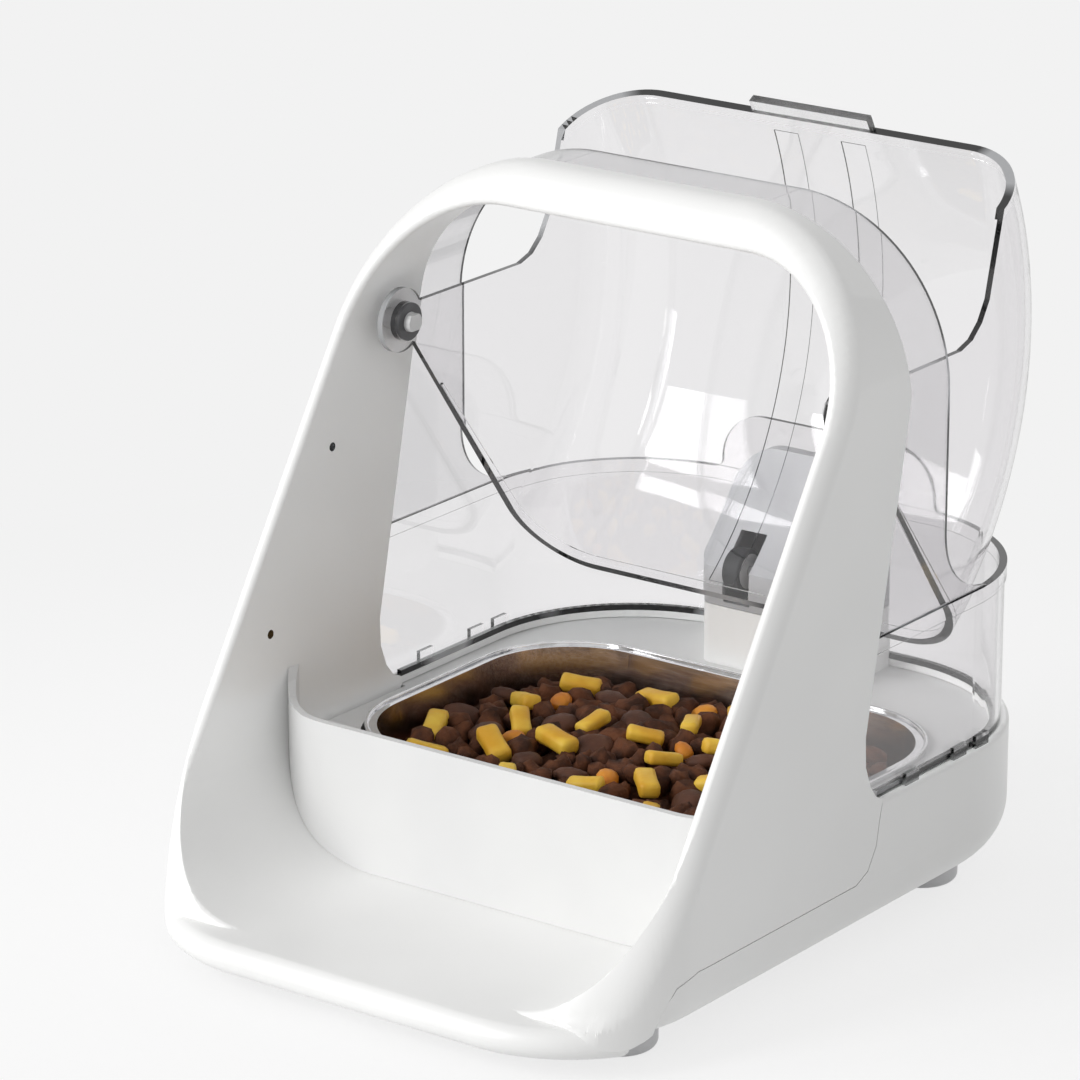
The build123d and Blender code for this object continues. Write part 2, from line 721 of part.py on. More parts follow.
# Lift tab over the middle of the upper rim
with BuildPart() as lid_tab:
    with BuildSketch(radial_plane(lid_high_angle)) as outline:
        with Locations((0, lid_radius - (lid_wall + lid_rim_extra) / 2)):
            Rectangle(2 * tab_half, lid_wall + lid_rim_extra)
    revolve(axis=pivot_axis, revolution_arc=tab_angle)
lid_tab.part.label = "lid_tab"
export_step(lid_tab.part, "parts/lid_tab.step")

# Bushes in the lid ears and the flatted pins they turn on
for side_sign, name in ((-1, "left"), (1, "right")):
    with BuildPart() as bush:
        with Locations((side_sign * (lid_half - ear_hub / 2), pivot_y, pivot_z)):
            Cylinder(pin_radius + bush_wall, ear_hub, rotation=(0, 90, 0))
        with Locations((side_sign * (lid_half - ear_hub - 0.6), pivot_y, pivot_z)):
            Cylinder(bush_collar, 1.2, rotation=(0, 90, 0))
        with Locations((side_sign * lid_half, pivot_y, pivot_z)):
            Cylinder(pin_radius + running_gap, 40, rotation=(0, 90, 0), mode=Mode.SUBTRACT)
    bush.part.label = "pivot_bush_" + name
    export_step(bush.part, "parts/pivot_bush_" + name + ".step")
    with BuildPart() as pin:
        with Locations((side_sign * (opening_half + 1.2 - pin_length / 2 + 1.8), pivot_y, pivot_z)):
            Cylinder(pin_radius, pin_length, rotation=(0, 90, 0))
        with Locations([(side_sign * (opening_half - pin_length + 4.2), pivot_y, pivot_z + s * (pin_radius + 1.2)) for s in (-1, 1)]):
            Box(2.6, 4 * pin_radius, pin_radius, mode=Mode.SUBTRACT)
        with Locations((side_sign * (opening_half + liner_skin + 0.6), pivot_y, pivot_z)):
            Cylinder(pin_radius + 3, 1.2, rotation=(0, 90, 0))
    pin.part.label = "pivot_pin_" + name
    export_step(pin.part, "parts/pivot_pin_" + name + ".step")

slot_x = track_x - 1.6
slot_width = roller_width + 4.8
bracket_x = gear_x - gear_width / 2 - 2.2

# Rear column, a white foot block and a grey head that follow the lid's sweep
idler_y = roller_y + (axle_gear_pitch + idler_pitch) * cos(radians(-38))
idler_z = roller_z + (axle_gear_pitch + idler_pitch) * sin(radians(-38))
motor_y = idler_y + (idler_pitch + pinion_pitch) * cos(radians(-82))
motor_z = idler_z + (idler_pitch + pinion_pitch) * sin(radians(-82))

with BuildPart() as column_body:
    with BuildSketch(Plane.XZ) as face:
        block(2 * column_half, deck_z, column_top)
        fillet(face.vertices().group_by(Axis.Y)[-1], 16)
    extrude(amount=-column_rear_y)
    with BuildSketch(Plane.XY) as outline:
        block(2 * column_half, column_front_y, column_rear_y)
        fillet(outline.vertices().group_by(Axis.Y)[0], 6)
    extrude(amount=200, mode=Mode.INTERSECT)
    with Locations((0, pivot_y, pivot_z)):
        Cylinder(lid_radius + column_gap, 100, rotation=(0, 90, 0), mode=Mode.SUBTRACT)

with BuildPart() as column_hollow:
    with BuildSketch(Plane.XZ) as face:
        block(2 * (column_half - column_wall), deck_z - 5, column_top - column_wall)
        fillet(face.vertices().group_by(Axis.Y)[-1], 16 - column_wall)
    extrude(amount=-(column_rear_y - column_wall))
    with BuildSketch(Plane.XY) as outline:
        block(2 * (column_half - column_wall), column_front_y + column_wall, column_rear_y)
        fillet(outline.vertices().group_by(Axis.Y)[0], 6 - column_wall)
    extrude(amount=200, mode=Mode.INTERSECT)
    with Locations((0, pivot_y, pivot_z)):
        Cylinder(lid_radius + column_gap + column_wall, 100, rotation=(0, 90, 0), mode=Mode.SUBTRACT)

with BuildPart() as column_base:
    add(column_body.part)
    add(column_hollow.part, mode=Mode.SUBTRACT)
    with Locations((0, column_front_y, column_split + 50)):
        Box(100, 200, 100, mode=Mode.SUBTRACT)
column_base.part.label = "column_base"
export_step(column_base.part, "parts/column_base.step")

with BuildPart() as column_head:
    add(column_body.part)
    add(column_hollow.part, mode=Mode.SUBTRACT)
    with Locations((0, column_front_y, column_split + fit_gap - 50)):
        Box(100, 200, 100, mode=Mode.SUBTRACT)
    with Locations([(s * slot_x, column_front_y + 4, roller_z + 1) for s in (-1, 1)]):
        Box(slot_width, 34, 27, mode=Mode.SUBTRACT)
    with Locations((0, roller_y, roller_z)):
        Cylinder(axle_radius + 1.8, 2 * (column_half - column_wall), rotation=(0, 90, 0), mode=Mode.SUBTRACT)
column_head.part.label = "column_head"
export_step(column_head.part, "parts/column_head.step")

# Rollers with rubber tyres on one axle
for side_sign, name in ((-1, "left"), (1, "right")):
    with BuildPart() as roller:
        with Locations((side_sign * track_x, roller_y, roller_z)):
            Cylinder(roller_radius - tyre_wall, roller_width, rotation=(0, 90, 0))
            Cylinder(axle_radius, 40, rotation=(0, 90, 0), mode=Mode.SUBTRACT)
    roller.part.label = "roller_" + name
    export_step(roller.part, "parts/roller_" + name + ".step")
    with BuildPart() as tyre:
        with Locations((side_sign * track_x, roller_y, roller_z)):
            Cylinder(roller_radius, roller_width, rotation=(0, 90, 0))
        fillet(tyre.edges().filter_by(GeomType.CIRCLE), 1.0)
        with Locations((side_sign * track_x, roller_y, roller_z)):
            Cylinder(roller_radius - tyre_wall, 40, rotation=(0, 90, 0), mode=Mode.SUBTRACT)
    tyre.part.label = "tyre_" + name
    export_step(tyre.part, "parts/tyre_" + name + ".step")
    with BuildPart() as bearing:
        with Locations((side_sign * (column_half - column_wall - 1.6), roller_y, roller_z)):
            Cylinder(axle_radius + 1.8, 3.2, rotation=(0, 90, 0))
            Cylinder(axle_radius + running_gap, 20, rotation=(0, 90, 0), mode=Mode.SUBTRACT)
    bearing.part.label = "axle_bearing_" + name
    export_step(bearing.part, "parts/axle_bearing_" + name + ".step")

with BuildPart() as roller_axle:
    with Locations((0, roller_y, roller_z)):
        Cylinder(axle_radius, 2 * (column_half - column_wall - 0.3), rotation=(0, 90, 0))
roller_axle.part.label = "roller_axle"
export_step(roller_axle.part, "parts/roller_axle.step")


def tooth(pitch, angle, y, z):
    # tapered tooth outline in the side view, pointing outward at the angle
    a = radians(angle)
    rows = ((pitch - 1.3 * gear_module, 0.93), (pitch, 0.72), (pitch + 0.9 * gear_module, 0.36))
    left = [(r, w) for r, w in rows]
    right = [(r, -w) for r, w in reversed(rows)]
    return [(y + r * cos(a) - w * sin(a), z + r * sin(a) + w * cos(a)) for r, w in left + right]


gear_specs = (
    ("axle_gear", axle_gear_pitch, roller_y, roller_z, axle_radius, -38.0),
    ("idler_gear", idler_pitch, idler_y, idler_z, axle_radius + running_gap, 152.0),
    ("motor_pinion", pinion_pitch, motor_y, motor_z, 1.5, 18.8),
)
for name, pitch, y, z, bore, turn in gear_specs:
    count = round(2 * pitch / gear_module)
    with BuildPart() as gear:
        with BuildSketch(Plane.YZ.offset(gear_x)):
            with Locations((y, z)):
                Circle(pitch - 1.2 * gear_module)
            for i in range(count):
                Polygon(*tooth(pitch, turn + i * 360 / count, y, z), align=None)
            with Locations((y, z)):
                Circle(bore, mode=Mode.SUBTRACT)
        extrude(amount=gear_width / 2, both=True)
    gear.part.label = name
    export_step(gear.part, "parts/" + name + ".step")

with BuildPart() as idler_pin:
    with Locations((gear_x - 2, idler_y, idler_z)):
        Cylinder(axle_radius, 9, rotation=(0, 90, 0))
idler_pin.part.label = "idler_pin"
export_step(idler_pin.part, "parts/idler_pin.step")

with BuildPart() as motor_shaft:
    with Locations((gear_x - 3, motor_y, motor_z)):
        Cylinder(1.5, 9.5, rotation=(0, 90, 0))
motor_shaft.part.label = "motor_shaft"
export_step(motor_shaft.part, "parts/motor_shaft.step")

with BuildPart() as gear_motor:
    with Locations((bracket_x - 1 - motor_length / 2, motor_y, motor_z)):
        Cylinder(motor_radius, motor_length, rotation=(0, 90, 0))
    fillet(gear_motor.edges().filter_by(GeomType.CIRCLE), 1.0)
    with Locations((0, motor_y, motor_z)):
        Cylinder(1.5 + running_gap, 30, rotation=(0, 90, 0), mode=Mode.SUBTRACT)
gear_motor.part.label = "gear_motor"
export_step(gear_motor.part, "parts/gear_motor.step")

# Bracket inside the column that carries the motor and the idler pin
with BuildPart() as drive_bracket:
    with Locations((bracket_x, (column_front_y + column_wall + column_rear_y - column_wall) / 2, (deck_z + column_split + 22) / 2)):
        Box(2.0, column_rear_y - column_front_y - 2 * column_wall - 0.4, column_split + 22 - deck_z)
    with Locations((0, motor_y, motor_z)):
        Cylinder(3.2, 30, rotation=(0, 90, 0), mode=Mode.SUBTRACT)
    with Locations((0, idler_y, idler_z)):
        Cylinder(axle_radius, 30, rotation=(0, 90, 0), mode=Mode.SUBTRACT)
    with Locations((0, roller_y, roller_z)):
        Cylinder(axle_radius + 0.6, 30, rotation=(0, 90, 0), mode=Mode.SUBTRACT)
    with Locations((0, pivot_y, pivot_z)):
        Cylinder(lid_radius + column_gap + column_wall + 0.3, 60, rotation=(0, 90, 0), mode=Mode.SUBTRACT)
drive_bracket.part.label = "drive_bracket"
export_step(drive_bracket.part, "parts/drive_bracket.step")

# Feet with stems in the base floor
for (x, y), name in zip(foot_spots, ("front_left", "front_right", "rear_left", "rear_right")):
    with BuildPart() as foot:
        with Locations((x, y, floor_gap / 2)):
            Cylinder(foot_radius, floor_gap)
        fillet(foot.edges().filter_by(GeomType.CIRCLE).sort_by(Axis.Z)[0], 3.0)
        with Locations((x, y, floor_gap + 2)):
            Cylinder(4.0, 4)
    foot.part.label = "foot_" + name
    export_step(foot.part, "parts/foot_" + name + ".step")

# Screws up through the base floor into the deck posts
with BuildPart() as base_screws:
    for x, y in post_spots:
        with Locations((x, y, floor_gap - 1)):
            Cylinder(screw_head, 2)
        with Locations((x, y, floor_gap + 7)):
            Cylinder(1.5, 14)
base_screws.part.label = "base_screws"
export_step(base_screws.part, "parts/base_screws.step")

# set back from the front plane of the arch and height
coil_places = [
    (42.2, 14),
    (38.8, 60),
    (35.86, 107.5),
    (31.8, 174),
    (27.46, pivot_z - 14),
    (16.3, pivot_z + 5),
    (9.46, height - 33),
    (8.3, height - 14),
    (-0.94, height + 2),
]
coil_path = [(front_y(z, back), z) for back, z in coil_places]

# Tag reader coil inside the arch, infrared sensors in its walls
with BuildPart() as reader_coil:
    with BuildSketch(Plane.XZ) as face:
        ring_section(
            face,
            opening_half + liner_skin + 0.8,
            opening_bottom - liner_skin - 3,
            opening_top + liner_skin + 3,
            opening_bottom_round + 3,
            opening_top_round + 3,
        )
    extrude(amount=220, both=True)
    with BuildSketch(Plane.XZ) as face:
        ring_section(
            face,
            opening_half + liner_skin + 0.1,
            opening_bottom - liner_skin - 0.1,
            opening_top + liner_skin + 0.1,
            opening_bottom_round + 2.3,
            opening_top_round + 2.3,
        )
    extrude(amount=220, both=True, mode=Mode.SUBTRACT)
    with BuildSketch(Plane.YZ):
        side(*coil_path, *[(y + 4, z) for y, z in reversed(coil_path)])
    extrude(amount=half, both=True, mode=Mode.INTERSECT)
reader_coil.part.label = "reader_coil"
export_step(reader_coil.part, "parts/reader_coil.step")

for side_sign, side_name in ((-1, "left"), (1, "right")):
    for (y, z), level in zip(sensor_spots, ("upper", "lower")):
        with BuildPart() as sensor:
            with Locations((side_sign * (opening_half + liner_skin / 2 + 0.1), y, z)):
                Cylinder(sensor_radius, liner_skin + 0.2, rotation=(0, 90, 0))
            with Locations((side_sign * (opening_half + liner_skin + 0.9), y, z)):
                Box(1.4, 6, 6)
        sensor.part.label = "infrared_sensor_" + side_name + "_" + level
        export_step(sensor.part, "parts/infrared_sensor_" + side_name + "_" + level + ".step")

# Battery bay under the deck, its cells, contacts and sliding hatch
cell_spots = [(hatch_y + s * (cell_radius + 0.1), floor_gap + skin + 0.2 + cell_radius + k) for s in (-1, 1) for k in (0, 2 * cell_radius + 0.2)]
with BuildPart() as battery_box:
    with Locations((hatch_x, hatch_y, (floor_gap + skin + deck_z - deck_skin - 14) / 2)):
        Box(hatch_length + 2.4, hatch_width + 2.4, deck_z - deck_skin - 14 - floor_gap - skin)
    with Locations((hatch_x, hatch_y, (floor_gap + deck_z - deck_skin - 18) / 2)):
        Box(hatch_length, hatch_width, deck_z - deck_skin - 18 - floor_gap, mode=Mode.SUBTRACT)
    add(base_hollow.part, mode=Mode.INTERSECT)
battery_box.part.label = "battery_box"
export_step(battery_box.part, "parts/battery_box.step")

for i, (y, z) in enumerate(cell_spots):
    flip = 1 if i % 2 else -1
    with BuildPart() as cell:
        with Locations((hatch_x - flip * 0.7, y, z)):
            Cylinder(cell_radius, cell_length - 1.4, rotation=(0, 90, 0))
        with Locations((hatch_x + flip * (cell_length - 1.4) / 2, y, z)):
            Cylinder(2.7, 1.4, rotation=(0, 90, 0))
    cell.part.label = "battery_cell_" + str(i + 1)
    export_step(cell.part, "parts/battery_cell_" + str(i + 1) + ".step")

for side_sign, name in ((-1, "left"), (1, "right")):
    with BuildPart() as contact:
        for y, z in cell_spots:
            with Locations((hatch_x + side_sign * (hatch_length / 2 + cell_length / 2) / 2, y, z)):
                Cylinder(3.6, hatch_length / 2 - cell_length / 2 - 0.2, rotation=(0, 90, 0))
        with Locations((hatch_x + side_sign * (hatch_length / 2 - 0.3), hatch_y, cell_spots[0][1] + cell_radius)):
            Box(0.5, 22, 22)
    contact.part.label = "battery_contacts_" + name
    export_step(contact.part, "parts/battery_contacts_" + name + ".step")

with BuildPart() as battery_hatch:
    with Locations((hatch_x, hatch_y, floor_gap + skin / 2)):
        Box(hatch_length, hatch_width, skin)
    with Locations([(hatch_x, hatch_y + hatch_width / 2 - 4 - 2 * i, floor_gap) for i in range(3)]):
        Box(18, 0.8, 0.8, mode=Mode.SUBTRACT)
battery_hatch.part.label = "battery_hatch"
export_step(battery_hatch.part, "parts/battery_hatch.step")

board_y = hatch_y + 2
chip_spots = [(-8, -4), (10, 4)]

# Main board, rear buttons with their board, and the power socket
with BuildPart() as main_board:
    with Locations((socket_x, board_y, floor_gap + skin + board_lift + board_thick / 2)):
        Box(board_length, board_width, board_thick)
    with Locations([(socket_x + x, board_y + y, floor_gap + skin + board_lift + board_thick + 1) for x, y in chip_spots]):
        Box(10, 10, 2)
    for x in (socket_x - board_length / 2 + 4, socket_x + board_length / 2 - 4):
        with Locations([(x, board_y + s * (board_width / 2 - 4), floor_gap + skin + board_lift / 2) for s in (-1, 1)]):
            Cylinder(2.5, board_lift)
main_board.part.label = "main_board"
export_step(main_board.part, "parts/main_board.step")

with BuildPart() as button_board:
    with Locations((0, base_rear_y - skin - 7, rear_port_z)):
        Box(button_board_length, board_thick, 16)
    with Locations([(x, base_rear_y - skin - 4.6, rear_port_z) for x in button_spots]):
        Box(6, 3.2, 6)
    with Locations([(x, base_rear_y - skin - 3.6, rear_port_z) for x in (1.5 - button_board_length / 2, button_board_length / 2 - 1.5)]):
        Box(3, 7.2, 8)
button_board.part.label = "button_board"
export_step(button_board.part, "parts/button_board.step")

for x, name in zip(button_spots, ("pairing_button", "training_button")):
    with BuildPart() as button:
        with Locations((x, base_rear_y - 1.0, rear_port_z)):
            Cylinder(button_radius, 4.6, rotation=(90, 0, 0))
        with Locations((x, base_rear_y - skin - 0.5, rear_port_z)):
            Cylinder(button_radius + 1, 0.8, rotation=(90, 0, 0))
    button.part.label = name
    export_step(button.part, "parts/" + name + ".step")

with BuildPart() as power_socket:
    with Locations((socket_x, base_rear_y - 5.5, rear_port_z)):
        Cylinder(socket_radius, 10.6, rotation=(90, 0, 0))
    with Locations((socket_x, base_rear_y - skin - 1.1, rear_port_z)):
        Cylinder(socket_radius + 1.5, 2, rotation=(90, 0, 0))
    with Locations((socket_x, base_rear_y, rear_port_z)):
        Cylinder(3.0, 16, rotation=(90, 0, 0), mode=Mode.SUBTRACT)
    with Locations((socket_x, base_rear_y - 6.5, rear_port_z)):
        Cylinder(1.0, 8, rotation=(90, 0, 0))
power_socket.part.label = "power_socket"
export_step(power_socket.part, "parts/power_socket.step")
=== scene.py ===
import bpy
import math
import random
from mathutils import Matrix, Vector
from mathutils.bvhtree import BVHTree


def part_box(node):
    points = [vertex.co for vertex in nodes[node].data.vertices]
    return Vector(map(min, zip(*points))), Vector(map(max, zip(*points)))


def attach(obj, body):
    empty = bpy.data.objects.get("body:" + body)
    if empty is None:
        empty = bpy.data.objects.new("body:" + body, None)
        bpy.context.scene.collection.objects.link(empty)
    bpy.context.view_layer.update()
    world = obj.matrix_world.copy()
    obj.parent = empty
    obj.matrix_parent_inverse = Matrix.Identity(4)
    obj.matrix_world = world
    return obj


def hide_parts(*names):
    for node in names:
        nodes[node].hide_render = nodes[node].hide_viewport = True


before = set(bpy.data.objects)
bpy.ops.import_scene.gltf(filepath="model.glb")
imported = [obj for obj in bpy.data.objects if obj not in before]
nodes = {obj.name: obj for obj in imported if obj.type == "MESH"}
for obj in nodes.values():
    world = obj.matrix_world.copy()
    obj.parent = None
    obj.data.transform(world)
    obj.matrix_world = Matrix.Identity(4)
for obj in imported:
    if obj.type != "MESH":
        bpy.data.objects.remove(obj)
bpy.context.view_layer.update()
mmPerMetre = 1000
print("frame loaded:", len(nodes), "nodes")


def hexColour(text):
    # sRGB hex to linear
    channels = [int(text[i:i + 2], 16) / 255 for i in (0, 2, 4)]
    return tuple(c / 12.92 if c <= 0.04045 else ((c + 0.055) / 1.055) ** 2.4 for c in channels) + (1.0,)


def addNode(tree, kind, settings=None, links=None):
    # sockets and properties by name or number, a ramp's stops as (position, hex)
    node = tree.nodes.new(kind)
    for name, value in (settings or {}).items():
        if name == "stops":
            elements = node.color_ramp.elements
            while len(elements) < len(value):
                elements.new(0.5)
            for element, (position, colour) in zip(elements, value):
                element.position = position
                element.color = hexColour(colour)
        elif isinstance(name, int) or name in node.inputs:
            node.inputs[name].default_value = value
        else:
            setattr(node, name, value)
    for name, source in (links or {}).items():
        tree.links.new(source, node.inputs[name])
    return node


def newMaterial(name):
    # empty material, its tree and the object coordinates that its patterns use
    material = bpy.data.materials.new(name)
    material.use_nodes = True
    tree = material.node_tree
    tree.nodes.clear()
    coords = addNode(tree, "ShaderNodeTexCoord")
    return material, tree, coords.outputs["Object"]


def mouldedPlastic(name, look):
    # moulded part: faint cloud of colour, satin polish that varies a little, fine skin
    material, tree, spot = newMaterial(name)
    cloud = addNode(tree, "ShaderNodeTexNoise",
                    {"Scale": mmPerMetre / look["cloudMm"], "Detail": 2.0}, {"Vector": spot})
    tint = addNode(tree, "ShaderNodeValToRGB",
                   {"stops": [(0.3, look["low"]), (0.7, look["high"])]}, {"Fac": cloud.outputs["Fac"]})
    polish = addNode(tree, "ShaderNodeTexNoise",
                     {"Scale": mmPerMetre / look["polishMm"], "Detail": 3.0}, {"Vector": spot})
    rough = addNode(tree, "ShaderNodeMapRange",
                    {"To Min": look["rough"] - look["roughSpread"],
                     "To Max": look["rough"] + look["roughSpread"]},
                    {"Value": polish.outputs["Fac"]})
    grain = addNode(tree, "ShaderNodeTexNoise",
                    {"Scale": mmPerMetre / look["grainMm"], "Detail": 2.0}, {"Vector": spot})
    # grain is a sixth as deep as it is wide
    bump = addNode(tree, "ShaderNodeBump",
                   {"Strength": look["grain"], "Distance": look["grainMm"] / 6000},
                   {"Height": grain.outputs["Fac"]})
    skin = addNode(tree, "ShaderNodeBsdfPrincipled", {"IOR": look["ior"]},
                   {"Base Color": tint.outputs["Color"], "Roughness": rough.outputs["Result"],
                    "Normal": bump.outputs["Normal"]})
    addNode(tree, "ShaderNodeOutputMaterial", links={"Surface": skin.outputs["BSDF"]})
    return material


def clearPlastic(name, look):
    # moulded clear sheet: faint flow ripples, painted shade that greys and darkens it where it is seen edge
    # on, and a pale shadow
    material, tree, spot = newMaterial(name)
    flow = addNode(tree, "ShaderNodeTexNoise",
                   {"Scale": mmPerMetre / look["flowMm"], "Detail": 1.0}, {"Vector": spot})
    bump = addNode(tree, "ShaderNodeBump",
                   {"Strength": look["flow"], "Distance": look["flowDepth"]}, {"Height": flow.outputs["Fac"]})
    # painted shade: the base colour turns grey, then dark, as the sheet is seen more edge on
    edge = addNode(tree, "ShaderNodeLayerWeight", {"Blend": look["edgeBlend"]})
    tint = addNode(tree, "ShaderNodeValToRGB",
                   {"stops": [(0.0, look["body"]), (look["edgeStart"], look["grazingShade"]),
                              (look["edgeEnd"], look["edge"])]},
                   {"Fac": edge.outputs["Facing"]})
    body = addNode(tree, "ShaderNodeBsdfPrincipled",
                   {"Roughness": look["rough"], "IOR": look["ior"], "Transmission Weight": 1.0},
                   {"Base Color": tint.outputs["Color"], "Normal": bump.outputs["Normal"]})
    path = addNode(tree, "ShaderNodeLightPath")
    through = addNode(tree, "ShaderNodeBsdfTransparent", {"Color": hexColour(look["shadow"])})
    mix = addNode(tree, "ShaderNodeMixShader", links={
        0: path.outputs["Is Shadow Ray"], 1: body.outputs["BSDF"], 2: through.outputs["BSDF"]})
    addNode(tree, "ShaderNodeOutputMaterial", links={"Surface": mix.outputs["Shader"]})
    return material


def paintedEdgeShade(name, look):
    # edge of a clear sheet: nearly black painted shade with paler runs of painted highlight, for the light
    # piped inside it
    material, tree, spot = newMaterial(name)
    highlightRuns = addNode(tree, "ShaderNodeTexNoise",
                   {"Scale": mmPerMetre / look["highlightRunMm"], "Detail": 1.0}, {"Vector": spot})
    tint = addNode(tree, "ShaderNodeValToRGB",
                   {"stops": [(look["paintedShadeTo"], look["paintedShade"]), (look["paintedHighlightFrom"], look["paintedHighlight"])]},
                   {"Fac": highlightRuns.outputs["Fac"]})
    polish = addNode(tree, "ShaderNodeMapRange",
                     {"To Min": look["rough"], "To Max": look["rough"] + look["roughSpread"]},
                     {"Value": highlightRuns.outputs["Fac"]})
    edge = addNode(tree, "ShaderNodeBsdfPrincipled", {"IOR": look["ior"]},
                   {"Base Color": tint.outputs["Color"], "Roughness": polish.outputs["Result"]})
    addNode(tree, "ShaderNodeOutputMaterial", links={"Surface": edge.outputs["BSDF"]})
    return material


def brushedSteel(name, look):
    # drawn or rolled metal: fine lines along one way, satin shine
    material, tree, spot = newMaterial(name)
    stretch = addNode(tree, "ShaderNodeMapping", {"Scale": look["stretch"]}, {"Vector": spot})
    lines = addNode(tree, "ShaderNodeTexNoise",
                    {"Scale": mmPerMetre / look["lineMm"], "Detail": 3.0, "Roughness": 0.6},
                    {"Vector": stretch.outputs["Vector"]})
    tint = addNode(tree, "ShaderNodeValToRGB",
                   {"stops": [(0.25, look["low"]), (0.75, look["high"])]}, {"Fac": lines.outputs["Fac"]})
    rough = addNode(tree, "ShaderNodeMapRange",
                    {"To Min": look["rough"] - look["roughSpread"],
                     "To Max": look["rough"] + look["roughSpread"]},
                    {"Value": lines.outputs["Fac"]})
    bump = addNode(tree, "ShaderNodeBump",
                   {"Strength": look["brush"], "Distance": 0.0002}, {"Height": lines.outputs["Fac"]})
    metal = addNode(tree, "ShaderNodeBsdfPrincipled", {"Metallic": 1.0},
                    {"Base Color": tint.outputs["Color"], "Roughness": rough.outputs["Result"],
                     "Normal": bump.outputs["Normal"]})
    addNode(tree, "ShaderNodeOutputMaterial", links={"Surface": metal.outputs["BSDF"]})
    return material


